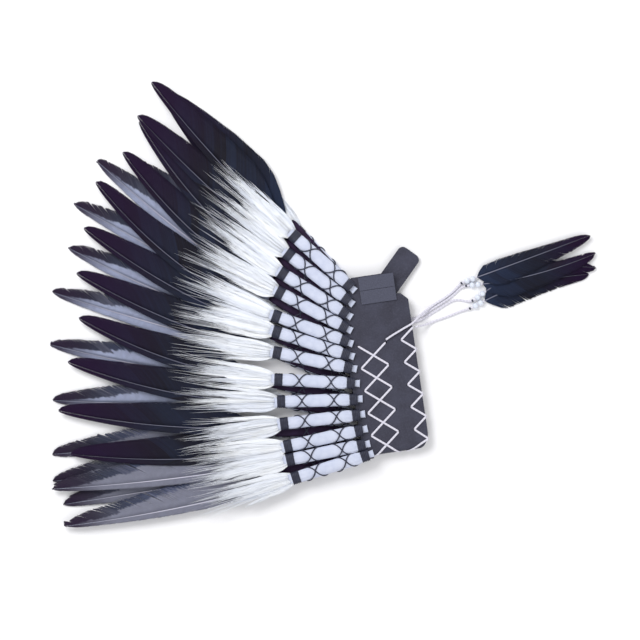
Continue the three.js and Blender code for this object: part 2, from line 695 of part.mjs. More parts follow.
const drops = DROP_ROUTES.map((points, i) => drop(points, DROP_FEATHERS[i], DROP_ORDER[i]));
headdress.add(...drops);
headdress.position.set(-centre.x, -centre.y, -extent.min.z);

const scene = new THREE.Group();
scene.add(headdress);

export default scene;
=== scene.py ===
"""Feathered headdress laid flat on its side, dressed over its CAD frame.

Lengths in the tables and functions are millimetres, in the CAD's own frame, and turn into metres
where a mesh is made. Each dressed feather has a frame of its own: +X runs along its sleeve from the
lower binding, and +Y is the side of the feather's narrow vane.
"""
import math
from collections import namedtuple

import bpy
import numpy as np
from bpy.props import FloatProperty, FloatVectorProperty, IntProperty, PointerProperty
from mathutils import Matrix, Vector


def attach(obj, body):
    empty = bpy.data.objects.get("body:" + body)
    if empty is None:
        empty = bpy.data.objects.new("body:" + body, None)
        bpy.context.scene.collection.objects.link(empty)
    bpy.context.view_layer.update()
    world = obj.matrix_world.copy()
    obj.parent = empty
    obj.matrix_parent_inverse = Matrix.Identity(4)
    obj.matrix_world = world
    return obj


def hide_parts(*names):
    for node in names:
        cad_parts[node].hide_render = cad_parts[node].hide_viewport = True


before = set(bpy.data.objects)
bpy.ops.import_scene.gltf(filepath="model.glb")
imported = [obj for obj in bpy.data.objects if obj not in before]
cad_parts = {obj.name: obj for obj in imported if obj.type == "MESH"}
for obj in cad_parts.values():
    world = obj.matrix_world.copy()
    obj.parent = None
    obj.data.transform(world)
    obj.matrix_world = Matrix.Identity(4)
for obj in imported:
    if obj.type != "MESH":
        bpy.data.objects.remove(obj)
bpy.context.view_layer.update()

bl_info = {
    "name": "Feathered Headdress",
    "version": (1, 0, 0),
    "blender": (4, 5, 0),
    "location": "View3D > Sidebar > Headdress",
    "description": "Dresses a feathered headdress piece by piece over its CAD frame",
    "category": "Object",
}

MM = 0.001
SEED = 26
UP = np.array([0.0, 0.0, 1.0])

# Marks of points whose material takes no notice of them
PLAIN = (0.5, 0.5, 0.5)

# Sides of a barb or a plume's fibre
FIBRE_SIDES = 3

# The whole was moved by this much to stand on the middle of its footprint
SHIFT = np.array([-1.752, -3.406, 0.0])

# Headband, folded in two over a hollow
HALF_LENGTH = 262
BAND_HEIGHT = 100
LEATHER = 2
HOLLOW = 10
OUTER_RADIUS = HOLLOW / 2 + LEATHER
FOLD_ARC = OUTER_RADIUS * math.pi / 2
BAND_LEAN = math.radians(8.4)
BAND_SLOPE = math.radians(2.9)
LOWER_EDGE_LIFT = 3.6
FOREHEAD = np.array([276.2, -203.0, LOWER_EDGE_LIFT]) + SHIFT
FOREHEAD_RISE = 16
FOREHEAD_RISE_LENGTH = 25
BACK_TAB_LENGTH = 31
BACK_TAB_INSET = 19.3

# Sleeve: width and thickness of its bindings, length, width and thickness of its shoulder and of the
# stub below the lower binding, and the levels of its mouth on the two halves. It is fullest at a
# share of its length
SLEEVE_LENGTH = 104.5
SLEEVE_WIDTH = 18.2
SLEEVE_THICKNESS = 12
SLEEVE_FULL = 0.4
BINDING_LENGTH = 12
LOWER_BINDING = (15, 7)
UPPER_BINDING = (17, 10.6)
SHOULDER = (5, 17.2, 8.6)
STUB = (7, 11, 3.4)
BINDING_CLEARANCE = 0.7
MOUTH_LENGTH = 3.5
MOUTH = SLEEVE_LENGTH + BINDING_LENGTH / 2 + MOUTH_LENGTH
NEAR_SLEEVE_HEIGHT = 19.2
FAR_SLEEVE_HEIGHT = SLEEVE_THICKNESS / 2

# Feathers: levels of the root and of the tip, and the share of the length at which the axis bends
FEATHER_ROLL = math.radians(5)
AXIS_BEND_AT = 0.45
ROOT_GAP = 0.3
NEAR_HEIGHTS = (16.5, 12.5)
FAR_HEIGHTS = (7.0, 2.4)

# Upper edge of the band: along is a share of the half length, height of the band height
CROWN = {
    "along": [0, 0.08, 0.45, 0.6, 0.75, 0.82, 0.89, 0.96, 1],
    "height": [0.94, 0.98, 1.0, 1.012, 0.976, 0.944, 0.882, 0.828, 0.776],
}

# Outline of a feather from root to tip, as shares of its length, its two vane widths and its quill
OUTLINE = {
    "along": [0, 0.1, 0.22, 0.31, 0.4, 0.6, 0.78, 0.88, 0.93, 0.965, 0.988, 1],
    "narrow": [0.85, 0.88, 0.9, 0.95, 1, 0.88, 0.66, 0.53, 0.45, 0.35, 0.2, 0.03],
    "wide": [0.05, 0.1, 0.62, 0.88, 1, 0.9, 0.68, 0.52, 0.41, 0.3, 0.18, 0.02],
    "quill": [1, 1, 0.9, 0.82, 0.74, 0.58, 0.5, 0.42, 0.36, 0.3, 0.2, 0.12],
}

# Kinds of feather: vane widths, quill thickness and how early they are full (1 is as in OUTLINE)
NEAR_FEATHER = {"narrow": 10, "wide": 37, "quill": 3.0, "early": 1}
FAR_FEATHER = {"narrow": 13, "wide": 36, "quill": 3.0, "early": 1}
DROP_FEATHER = {"narrow": 15, "wide": 25, "quill": 1.8, "early": 0.62}

# Dressed feathers from the back end to the forehead: station as a share of the half length, lean of
# the sleeve above the left in degrees, length as a share of the feather length, bend of the
# feather's tip from its sleeve, rise of its tip in millimetres, turn of the plume, and turn of the
# feather from its sleeve at its root
Dressed = namedtuple("Dressed", "station lean length bend tip_rise plume_turn leave")
NEAR_FEATHERS = [Dressed(*row) for row in (
    (0.963, 42, 0.894, 5.3, 3.6, 0, 0),
    (0.889, 37.5, 0.873, 5.2, 2.6, 0, 0),
    (0.816, 32.5, 0.891, 14.6, 0, 2, 0),
    (0.74, 27.9, 0.897, 14.4, 0, -1, 0),
    (0.664, 19.5, 0.961, 17.7, 0, 2, 0),
    (0.589, 17.8, 0.933, 10.8, 0, -5, 0),
    (0.515, 11.7, 0.918, 10.2, 0, -3, 0),
    (0.428, 2.7, 0.888, 14.8, 0, 3, 0),
    (0.336, -1.6, 0.924, 12.4, 0, 3, 0),
    (0.249, -6.7, 0.964, 10.2, 0, -3, 0),
    (0.163, -12.3, 0.924, 10.4, 0, 5, 0),
    (0.082, -11.6, 1.027, 4.6, 0, -1, 0),
    (0.016, -17.5, 1.009, 5.7, 0, 0, 0),
)]
FAR_FEATHERS = [Dressed(*row) for row in (
    (0.963, 47, 0.836, -1, 0, 1, 0),
    (0.889, 43.5, 0.83, 6, 0, 0, 0),
    (0.816, 40, 0.852, 4.3, 0, 0, 0),
    (0.74, 35.8, 0.848, 3, 0, 0, 0),
    (0.664, 31.5, 1.009, 6, 0, 0, 0),
    (0.589, 28.8, 1.03, 0.2, 0, 0, 0),
    (0.515, 24, 1.003, -1.1, 0, 0, -7),
    (0.428, 22.5, 1.036, -7.4, 0, 0, -11.5),
    (0.336, 12.1, 1.018, -2.5, 0, 0, -8.4),
    (0.249, 10.5, 1.003, -10.4, 0, 0, -13.9),
    (0.163, -0.7, 1.015, -5.1, 0, 0, -6.9),
    (0.082, -3, 1.03, -5.1, 0, 0, -5),
    (0.016, -9.6, 1.009, 0.4, 0, 0, 0),
)]

# The near feathers from this one on lie with their underside up
FIRST_TURNED = 12

# Far feathers before this one show their underside but lie hidden but for their edges, and are
# given the dark upper-side vane as painted shade
FIRST_UNSHADED_FAR = 3

# Undersides from this one on are browner
FIRST_BROWNISH = 11

# The CAD nodes that hold the sleeves and plumes of the two halves
SLEEVE_NODES = {"near": "near_sleeve_", "far": "far_feather_"}

# Routes of the drop laces, the same points as in the CAD. The last three are the two beads and the
# lace's end
DROP_ROUTES = {
    "1": [
        (213, -48, 22.1), (221, -42.5, 22.2), (230, -37, 21.8), (240, -31, 21), (250.5, -24.8, 19.9),
        (257, -18.8, 18.2), (264, -12, 13.8), (271, -6, 8), (278, -1, 3.8), (286, 4.4, 1.8),
        (301, 13.8, 1.65), (313.5, 24, 1.9), (319.5, 31, 3), (325.3, 35, 4.3),
        (330.9, 37, 4.35), (339.2, 40, 4.35), (345, 42.1, 4.35),
    ],
    "4": [
        (255.4, -29.5, 18.7), (259, -28.8, 16.9), (263.4, -28, 13), (268.8, -26.8, 8),
        (275, -25, 4), (283, -21.8, 1.9), (294, -18, 1.65), (308, -13, 1.65), (318, -9, 1.65),
        (325, -6.4, 1.9), (331.6, -4.2, 3), (337.7, -1.8, 4.3),
        (343, 1, 4.35), (350.8, 5.1, 4.35), (356.2, 7.9, 4.35),
    ],
    "2": [
        (240, -19.5, 1.65), (249, -18.5, 1.65), (258, -16.5, 1.65), (267, -12.4, 1.65),
        (277, -6, 1.65), (289, 1.4, 1.65), (296.2, 5.9, 1.65), (303.5, 10.6, 1.65), (314, 19, 1.65),
        (320, 25, 1.9), (325.8, 28.6, 3), (332.2, 30.3, 4.3), (338.2, 30.9, 4.35), (347, 31.8, 4.35),
        (353.2, 32.4, 4.35),
    ],
    "3": [
        (239, -25, 1.65), (249, -24, 1.65), (259, -21.8, 1.65), (269, -17, 1.65), (280, -10, 1.65),
        (292, -2.6, 1.65), (304, 4.8, 1.65), (313, 8.8, 1.65), (321, 9.2, 1.65), (329, 7.6, 1.9),
        (335.6, 7.4, 3), (341.6, 9.8, 4.3), (346.4, 13.3, 4.35), (353.4, 18.4, 4.35),
        (358.3, 21.9, 4.35),
    ],
}

# Small feathers of the drops: length as a share, turn of the tip to the left in degrees and level
# of the tip in the pile
DROP_FEATHERS = {"1": (1.04, -0.5, 7.4), "4": (0.93, 13.5, 1.7), "2": (1.01, -9.3, 5.5),
                 "3": (0.97, 24, 3.6)}


def linear(code):
    """An sRGB hex colour as linear RGB."""
    values = [int(code[i:i + 2], 16) / 255 for i in (1, 3, 5)]
    return [v / 12.92 if v <= 0.04045 else ((v + 0.055) / 1.055) ** 2.4 for v in values]


def colour_setting(name, code, description):
    """A colour that the user may change, with an sRGB hex default."""
    return FloatVectorProperty(
        name=name, description=description, subtype="COLOR", size=3, min=0, max=1,
        default=linear(code))


class HeaddressSizes(bpy.types.PropertyGroup):
    """Sizes of the feathers, plumes and drops."""
    feather_length: FloatProperty(
        name="Feather length", description="Length of a full quill feather beyond its sleeve",
        default=330 * MM, unit="LENGTH", subtype="DISTANCE")
    barb_spacing: FloatProperty(
        name="Barb spacing", description="Distance between barbs, drawn coarser than real ones",
        default=2.0 * MM, unit="LENGTH", subtype="DISTANCE")
    plume_length: FloatProperty(
        name="Plume length", description="Length of the longest solid lock of a white plume",
        default=128 * MM, unit="LENGTH", subtype="DISTANCE")
    plume_width: FloatProperty(
        name="Plume width", description="Width of a white plume at its fullest",
        default=28 * MM, unit="LENGTH", subtype="DISTANCE")
    strand_width: FloatProperty(
        name="Strand width", description="Width of a plume's fibre, drawn coarser than real ones",
        default=0.9 * MM, unit="LENGTH", subtype="DISTANCE")
    near_strands: IntProperty(
        name="Near strands", description="Fibres of each near plume", default=420, min=20)
    far_strands: IntProperty(
        name="Far strands", description="Fibres of each far plume", default=110, min=20)
    lace_diameter: FloatProperty(
        name="Drop lace", description="Diameter of a drop's lace",
        default=3 * MM, unit="LENGTH", subtype="DISTANCE")
    drop_feather_length: FloatProperty(
        name="Drop feather", description="Length of a drop's small feather",
        default=168 * MM, unit="LENGTH", subtype="DISTANCE")


class HeaddressColours(bpy.types.PropertyGroup):
    """Colours of the headdress and of the stage."""
    black: colour_setting("Black vane", "#19161f", "Dyed feathers' upper side")
    # Painted sheen, mixed into the upper side's colour
    blue: colour_setting("Blue-black vane", "#27314a", "Sheen of the upper side at its middle")
    violet: colour_setting("Violet tip", "#20092e", "Feathers' tips, where the dye is deepest")
    silver: colour_setting("Silver underside", "#a6aeca", "Feathers' underside along the quill")
    slate: colour_setting("Slate underside", "#48516f", "Feathers' underside at the edges")
    horn: colour_setting("Quill", "#c6c5d6", "Shaft of a feather seen from below")
    plume: colour_setting("White plume", "#fafcff", "White fibres over the feathers' roots")
    cloth: colour_setting("Sleeve cloth", "#d2d8ec", "White cotton sleeves")
    thread: colour_setting("Binding thread", "#292b3b", "Waxed binding and crossed threads")
    backing: colour_setting("Backing strip", "#33243f", "Dark strips inside the sleeves")
    leather: colour_setting("Leather", "#393a4b", "Headband and closing tab")
    tape: colour_setting("Loop tape", "#535568", "Fastening tape at the back")
    lace: colour_setting("Lace", "#dedce8", "Cotton lacing and drop laces")
    bead: colour_setting("Bead", "#e2e8f4", "Glossy white beads")
    floor: colour_setting("Floor", "#fbfbfd", "Plain pale floor")


# Shapes

class Form:
    """Gathers the points, faces and marks of one mesh. A mark is three numbers at each point, which
    its material reads: a tone for chance, a share along the form and a share across it. On a binding
    the tone is the relief of its turns instead, which its material darkens in the grooves as painted
    shade."""

    def __init__(self):
        self.points, self.places, self.marks, self.faces = [], [], [], []
        self.count = 0

    def add(self, points, faces, marks, places=None):
        """Adds points with their faces and marks. Their places are the points unless given."""
        self.points.append(points)
        self.places.append(points if places is None else places)
        self.marks.append(np.broadcast_to(marks, points.shape))
        self.faces += [[corner + self.count for corner in face] for face in faces]
        self.count += len(points)

    def moved(self, matrix):
        """The same form, placed by a 4x4 matrix. Its places stay those of its own frame."""
        turn, shift = matrix[:3, :3], matrix[:3, 3]
        self.points = [points @ turn.T + shift for points in self.points]
        return self


def unit(vectors):
    """The vectors made one long."""
    return vectors / np.maximum(np.linalg.norm(vectors, axis=-1, keepdims=True), 1e-9)


def around(sides):
    """Angles of a section's corners."""
    return 2 * math.pi * (np.arange(sides) + 0.5) / sides


def distances(route):
    """How far along a route each of its points lies."""
    return np.concatenate([[0], np.cumsum(np.linalg.norm(np.diff(route, axis=0), axis=1))])


def marks_of(shape, tone, along, across):
    """The three marks of points that stand in a given shape."""
    return np.stack([np.broadcast_to(value, shape) for value in (tone, along, across)], -1)


def sweep(form, paths, wide, high, sides, marks=(0.5, 0, 0), up=UP, places=None):
    """Adds closed tubes along paths of shape (tubes, stations, 3). wide and high are the half width
    and half height at each station."""
    paths = np.asarray(paths, float)
    if paths.ndim == 2:
        paths = paths[None]
    tubes, stations, _ = paths.shape
    ahead = unit(np.gradient(paths, axis=1))
    across = unit(np.cross(ahead, np.broadcast_to(up, paths.shape)))
    rise = np.cross(across, ahead)
    angles = around(sides) - math.pi / 2
    wide = np.broadcast_to(wide, paths.shape[:2])[..., None, None]
    high = np.broadcast_to(high, paths.shape[:2])[..., None, None]
    ring = (paths[:, :, None] + wide * np.cos(angles)[:, None] * across[:, :, None]
            + high * np.sin(angles)[:, None] * rise[:, :, None])
    marks = np.broadcast_to(np.broadcast_to(marks, paths.shape)[:, :, None], ring.shape)
    faces = []
    for tube in range(tubes):
        first = tube * stations * sides
        for i in range(stations - 1):
            a = first + i * sides
            for j in range(sides):
                k = (j + 1) % sides
                faces.append((a + j, a + sides + j, a + sides + k, a + k))
        faces.append(tuple(range(first, first + sides)))
        last = first + (stations - 1) * sides
        faces.append(tuple(range(last + sides - 1, last - 1, -1)))
    form.add(ring.reshape(-1, 3), faces, marks.reshape(-1, 3), places)


def loft(form, rings, marks):
    """Adds a closed skin through rings of shape (stations, sides, 3), which turn anticlockwise as
    seen from the far end."""
    stations, sides, _ = rings.shape
    faces = []
    for i in range(stations - 1):
        for j in range(sides):
            k = (j + 1) % sides
            a, b = i * sides, (i + 1) * sides
            faces.append((a + j, a + k, b + k, b + j))
    faces.append(tuple(range(sides - 1, -1, -1)))
    faces.append(tuple(range((stations - 1) * sides, stations * sides)))
    marks = np.broadcast_to(marks, rings.shape).reshape(-1, 3)
    form.add(rings.reshape(-1, 3), faces, marks)


def piece(name, form, material, nodes=()):
    """Makes a mesh object of a form, flat where it lies on the floor, rides it on the body and lets
    it stand for its CAD nodes."""
    points = np.concatenate(form.points) * MM
    points[:, 2] = np.maximum(points[:, 2], 0)
    mesh = bpy.data.meshes.new(name)
    mesh.from_pydata(points.tolist(), [], form.faces)
    place = mesh.attributes.new("place", "FLOAT_VECTOR", "POINT")
    place.data.foreach_set("vector", (np.concatenate(form.places) * MM).ravel())
    marks = np.concatenate(form.marks)
    mark = mesh.attributes.new("mark", "FLOAT_VECTOR", "POINT")
    mark.data.foreach_set("vector", marks.ravel())
    mesh.polygons.foreach_set("use_smooth", [True] * len(mesh.polygons))
    mesh.materials.append(material)
    made = bpy.data.objects.new(name, mesh)
    bpy.context.scene.collection.objects.link(made)
    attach(made, "root")
    if nodes:
        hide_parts(*nodes)
    return made


def turned(angle, axis, shift):
    """The matrix of a turn about an axis and a shift."""
    return np.array(Matrix.Translation(Vector(shift)) @ Matrix.Rotation(angle, 4, axis))


# Places on the band

BAND = turned(math.pi / 2 + BAND_LEAN, "Z", FOREHEAD) @ turned(BAND_SLOPE, "X", (0, 0, 0))


def on_band(along, up, out):
    """Points along the strip from the forehead (positive on the near half), up from its lower edge
    and out from the leather's outer face, as world millimetres."""
    along, up, out = np.broadcast_arrays(*(np.asarray(v, float) for v in (along, up, out)))
    reach = np.abs(along) - FOLD_ARC
    turn = np.clip(along, -FOLD_ARC, FOLD_ARC) / OUTER_RADIUS
    radius = OUTER_RADIUS + out
    flat = reach >= 0
    x = np.where(flat, OUTER_RADIUS + reach, OUTER_RADIUS - radius * np.cos(turn))
    z = np.where(flat, np.where(along > 0, 2 * OUTER_RADIUS + out, -out),
                 OUTER_RADIUS + radius * np.sin(turn))
    return np.stack([x, up, z], -1) @ BAND[:3, :3].T + BAND[:3, 3]


def wrap_line(along):
    """Height of the band's upper edge, where the sleeves are bound to it."""
    share = abs(along) / HALF_LENGTH
    return BAND_HEIGHT * float(np.interp(share, CROWN["along"], CROWN["height"]))


def lower_edge(along):
    """The lower edge rises at the forehead, is cut off at the corner and steps in at the back."""
    distance = abs(along)
    step = HALF_LENGTH - BACK_TAB_LENGTH
    if distance < FOREHEAD_RISE_LENGTH:
        return FOREHEAD_RISE * (1 - distance / FOREHEAD_RISE_LENGTH) ** 2
    if distance > step:
        return BACK_TAB_INSET
    return max(0, BACK_TAB_INSET / 2 - (step - 1 - distance))


def dressed_frame(row, side):
    """The matrix of one dressed feather's frame, and the height of the band's face under it."""
    along = row.station * HALF_LENGTH * side
    face = on_band(along, wrap_line(along), 0)
    level = on_band(HALF_LENGTH * side, wrap_line(along), 0)[2]
    return turned(math.pi - math.radians(row.lean), "Z", (face[0], face[1], 0)), level


def dressed_feathers():
    """Side (1 near, -1 far), half, number and row of each dressed feather."""
    for side, half, rows in ((1, "near", NEAR_FEATHERS), (-1, "far", FAR_FEATHERS)):
        for number, row in enumerate(rows, 1):
            yield side, half, number, row


# Feathers

class Line:
    """The axis of a feather on a gentle arc, its height and its outline, by share of its length.
    leave is the angle at which it starts, bend the angle at which its tip lies as seen from its
    root, and level the share of its length at which it reaches its tip's height."""

    def __init__(self, kind, root, length, leave, bend, heights, roll, level=1.0):
        start, turn = -math.radians(leave), -math.radians(bend)
        self.kind, self.length, self.heights = kind, length, heights
        self.roll, self.level = roll, level
        reach = length * AXIS_BEND_AT
        self.start = np.array([root, 0.0])
        self.middle = self.start + reach * np.array([math.cos(start), math.sin(start)])
        self.tip = np.array([root + length * math.cos(turn), length * math.sin(turn)])

    def at(self, share, across=0.0, out=0.0):
        """Points on the feather's surface, across its axis and out from it."""
        share, across, out = np.broadcast_arrays(share, across, out)
        s = share[..., None]
        point = (1 - s) ** 2 * self.start + 2 * s * (1 - s) * self.middle + s ** 2 * self.tip
        along = unit(2 * (1 - s) * (self.middle - self.start) + 2 * s * (self.tip - self.middle))
        fall = np.minimum(share / self.level, 1) ** 2
        height = self.heights[0] + (self.heights[1] - self.heights[0]) * fall
        return np.stack([
            point[..., 0] - along[..., 1] * across,
            point[..., 1] + along[..., 0] * across,
            height + across * math.sin(self.roll) + out,
        ], -1)

    def width(self, side, share):
        """Width of one vane."""
        drawn = share ** self.kind["early"]
        return self.kind[side] * np.interp(drawn, OUTLINE["along"], OUTLINE[side])

    def quill(self, share):
        """Radius of the quill."""
        return self.kind["quill"] / 2 * np.interp(share, OUTLINE["along"], OUTLINE["quill"])


# Barbs of a vane. Widths are millimetres, and lean, first and last are shares of the feather's
# length
BARB_STATIONS = 6
BARB_OVERLAP = 0.76
BARB_END = 0.7
BARB_HEIGHT = 0.2
BARB_LEAST_WIDTH = 0.12
BARB_LEAN = {"narrow": 0.075, "wide": 0.115}
FIRST_BARB = {"narrow": 0.01, "wide": 0.09}
LAST_BARB = 0.993
VANE_CROWN = 0.1
VANE_END = 0.999

# Runs of barbs that hold together: the fewest barbs in one and one more than the most, how far it
# parts from the next and drifts along, from which share of a barb it parts, how uneven the ends of
# its barbs are, and how much of a barb's tone is its run's
RUN_BARBS = (7, 24)
RUN_PARTING = 0.2
RUN_DRIFT = 0.003
PARTED_FROM = 0.3
UNEVEN_ENDS = 0.05
RUN_TONE = 0.65

# How ragged a vane is. The undersides that lie uppermost are more worn
SLEEK_VANE = 0.25
WORN_VANE = 1.3
DROP_VANE = 1.4

# Shafts: share of the quill that stands clear of the vanes and height of its middle over them. The
# last of it is too thin to draw
CLEAR_SHAFT = {"upper side": 0.5, "underside": 0.8}
SHAFT_RISE = 0.3
SHAFT_SIDES = 8
SHAFT_STATIONS = 26
SHAFT_END = 0.985
SHAFT_FLATNESS = 0.8


def vane(form, line, side, spacing, ragged, chance, first):
    """Adds one vane of a feather: barbs that leave the quill and lean towards the tip, zipped
    together but for the splits where a run of them has come apart."""
    sign = 1 if side == "narrow" else -1
    count = int(line.length * (LAST_BARB - first) / spacing)
    root = np.linspace(first, LAST_BARB, count)
    tip = root + BARB_LEAN[side] * (1 - root ** 7)
    middle = tip.copy()
    opening, drift, tone = np.zeros((3, count))
    start = 0
    while start < count:
        end = min(start + int(chance.integers(*RUN_BARBS)), count)
        middle[start:end] = tip[start:end].mean()
        opening[start:end] = ragged * RUN_PARTING * chance.random() ** 2
        drift[start:end] = ragged * chance.normal(0, RUN_DRIFT)
        tone[start:end] = chance.random()
        start = end
    u = np.linspace(0, 1, BARB_STATIONS)
    full = line.width(side, tip) * (1 - UNEVEN_ENDS * ragged * chance.random(count))
    late = np.clip((u - PARTED_FROM) / (1 - PARTED_FROM), 0, 1) ** 1.2
    parting = (drift - (tip - middle) * opening)[:, None] * late
    share = np.clip(root[:, None] + (tip - root)[:, None] * u ** 1.25 + parting, 0, VANE_END)
    inner = 0.5 * line.quill(root)
    across = sign * (inner[:, None] + (full - inner)[:, None] * u ** 0.95)
    paths = line.at(share, across, VANE_CROWN * np.sin(math.pi * u))
    ahead = unit(np.gradient(paths, axis=1))
    step = np.gradient(paths, axis=0)
    apart = np.abs(np.cross(ahead[..., :2], step[..., :2]))
    wide = BARB_OVERLAP * np.minimum(apart, 2 * spacing)
    wide[:, -1] *= BARB_END
    # A barb's tone also sets its run's painted sheen on an upper side and its painted highlight on an
    # underside
    own = RUN_TONE * tone + (1 - RUN_TONE) * chance.random(count)
    marks = marks_of(share.shape, own[:, None], share, u * 0.5 * sign + 0.5)
    sweep(form, paths, np.maximum(wide, BARB_LEAST_WIDTH), BARB_HEIGHT, FIBRE_SIDES,
          marks)


def shaft(form, line, raised, clear=1.0):
    """Adds the quill down the middle of a feather, tapering to its tip. clear is the share of it that
    stands clear of the vanes."""
    share = np.linspace(0, SHAFT_END, SHAFT_STATIONS)
    radius = line.quill(share) * clear
    marks = marks_of(share.shape, 0.5, share, 0.5)
    sweep(form, line.at(share, 0.0, raised), radius, radius * SHAFT_FLATNESS, SHAFT_SIDES, marks)


def quill_line(row, side, sizes):
    """The line of a near (side 1) or far (side -1) feather."""
    length = sizes.feather_length / MM * row.length
    if side > 0:
        kind, heights, root = NEAR_FEATHER, NEAR_HEIGHTS, MOUTH + ROOT_GAP
    else:
        kind, heights, root = FAR_FEATHER, FAR_HEIGHTS, MOUTH - MOUTH_LENGTH
    heights = (heights[0], heights[1] + row.tip_rise)
    return Line(kind, root, length, row.leave, row.bend, heights, FEATHER_ROLL * side)


# Plumes of fine strands over a soft core

# Plumes of the two halves: level, depth of the fibres, width of the soft middle as a share of the
# plume's, its thickness and how far it lies under the fibres
PLUMES = {
    "near": {"level": 21.4, "depth": 5.4, "core": 0.62, "thickness": 2.0, "under": 1.5},
    "far": {"level": 2.9, "depth": 3.6, "core": 0.66, "thickness": 2.4, "under": 0},
}
CORE_LENGTH = 0.6
CORE_SIDES = 16
CORE_STATIONS = 14
CORE_OUTLINE = {"along": [0, 0.12, 0.4, 0.75, 0.93, 1], "width": [0.62, 0.8, 1, 0.82, 0.42, 0.08]}

# Fibres of a plume. They leave the mouth narrow, are spread by a share of their length and then
# gather into locks. Wisps are longer and thinner and stay out of the locks. Lengths are shares of the
# plume's, and widths shares of its width
STRAND_STATIONS = 9
STRAND_TAPER = {"along": [0, 0.5, 0.85, 1], "width": [1, 0.95, 0.6, 0.1]}
STRAND_LENGTHS = (0.66, 1.0)
MOUTH_SPREAD = 0.31
FULL_SPREAD = 0.46
SPREAD_BY = 0.4
FIBRE_STRAY = 0.1
FIBRE_SWAY = 0.02
FAN_SWAY = 0.03
LOCKS = 12
LOCK_STRAY = 0.06
LOCK_SWAY = 0.03
LOCK_LENGTHS = (0.84, 1.04)
LOCK_FROM = 0.35
LOCK_PULL = 0.92
LOCK_HOLDS = (0.55, 1.0)
LOCK_TONE = 0.6
LONGEST_LOCK = 1.02
SHELTERED_SIDE = 0.42
OPEN_SIDE = 0.16
WISPS = 0.07
WISP_LENGTHS = (0.8, 1.0)
WISP_WIDTH = 0.7
LONGEST_WISP = 1.22
PLUME_SAG = 0.25
LOWEST_FIBRE = 0.7


def plume_core(form, turn, length, width, thickness, height):
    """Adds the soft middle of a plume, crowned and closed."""
    u = np.linspace(0, 1, CORE_STATIONS)
    swell = np.interp(u, CORE_OUTLINE["along"], CORE_OUTLINE["width"])
    angles = around(CORE_SIDES)
    x = (MOUTH - MOUTH_LENGTH + length * u)[:, None] + 0 * angles
    y = (swell * width / 2)[:, None] * np.cos(angles) + (x - MOUTH) * math.tan(turn)
    z = height + (swell * thickness / 2)[:, None] * np.sin(angles)
    loft(form, np.stack([x, y, z], -1), (0.4, 0.3, 0.5))


def strands(form, turn, count, sizes, height, depth, chance):
    """Adds the fibres of a plume. They leave the sleeve's mouth side by side, spread and then gather
    into pointed locks of unequal length, shorter on the side where the next feather lies."""
    length, width = sizes.plume_length / MM, sizes.plume_width / MM
    fan = np.linspace(-1, 1, LOCKS) + chance.normal(0, LOCK_STRAY, LOCKS)
    reach = LONGEST_LOCK - SHELTERED_SIDE * np.clip(fan, 0, 1) ** 1.1
    reach = (reach - OPEN_SIDE * np.clip(-fan, 0, 1)) * chance.uniform(*LOCK_LENGTHS, LOCKS)
    level = chance.uniform(-1, 1, LOCKS)
    lock = chance.integers(0, LOCKS, count)
    own = fan[lock] + chance.normal(0, FIBRE_STRAY, count)
    run = length * reach[lock] * chance.uniform(*STRAND_LENGTHS, count)
    wisp = chance.random(count) < WISPS
    run = np.where(wisp, length * LONGEST_WISP * chance.uniform(*WISP_LENGTHS, count), run)
    pull = LOCK_PULL * chance.uniform(*LOCK_HOLDS, count) * ~wisp
    sway = chance.normal(0, FIBRE_SWAY, count) + chance.normal(0, LOCK_SWAY, LOCKS)[lock]
    u = np.linspace(0, 1, STRAND_STATIONS)
    opened = 1 - (1 - np.minimum(u / SPREAD_BY, 1)) ** 2
    closing = np.clip((u - LOCK_FROM) / (1 - LOCK_FROM), 0, 1) ** 1.4
    begin = MOUTH_SPREAD * width * np.clip(own, -1, 1)
    spread = FULL_SPREAD * width * own
    gathered = FULL_SPREAD * width * fan[lock]
    x = run[:, None] * u
    y = begin[:, None] + (spread - begin)[:, None] * opened
    y = y + ((gathered - spread) * pull)[:, None] * closing
    y = y + x * (sway[:, None] * u + FAN_SWAY * fan[lock][:, None] * u ** 0.5)
    crown = depth / 2 * np.sqrt(np.clip(1 - 0.8 * own ** 2, 0.05, 1))
    layer = 0.7 * level[lock] + 0.4 * chance.uniform(-1, 1, count)
    lift = crown[:, None] * layer[:, None] * (1 - 0.5 * u ** 1.5)
    z = np.maximum(height - PLUME_SAG * depth * u ** 2 + lift, LOWEST_FIBRE)
    c, s = math.cos(turn), math.sin(turn)
    paths = np.stack([MOUTH - MOUTH_LENGTH + x * c - y * s, x * s + y * c, z], -1)
    taper = np.interp(u, STRAND_TAPER["along"], STRAND_TAPER["width"])
    radius = sizes.strand_width / MM / 2 * taper * np.where(wisp, WISP_WIDTH, 1)[:, None]
    tone = LOCK_TONE * chance.random(LOCKS)[lock] + (1 - LOCK_TONE) * chance.random(count)
    marks = marks_of(x.shape, tone[:, None], u, own[:, None] * 0.5 + 0.5)
    sweep(form, paths, radius, radius, FIBRE_SIDES, marks)


# Sleeves

# Cloth of the sleeve. It tucks under its bindings, is drawn in beside them, and has gathers that die
# away along it, a few long creases and a frilled edge at its mouth
CLOTH_SIDES = 40
CLOTH_STATIONS = 46
CLOTH_TUCK = 1
CLOTH_NECK = 0.05
NECK_LENGTH = 2.5
CLOTH_GATHERS = (9, 14)
CLOTH_GATHER = 0.06
CLOTH_GATHER_LENGTH = 14
CLOTH_CREASES = 3
CLOTH_CREASE = 0.012
CLOTH_CREASE_LENGTH = 15
FRILLS = (11, 7)
FRILL = 0.07
FRILL_WAVE = 0.5
FRILL_STATIONS = 5
STUB_STATIONS = 8
STUB_SIDES = 12

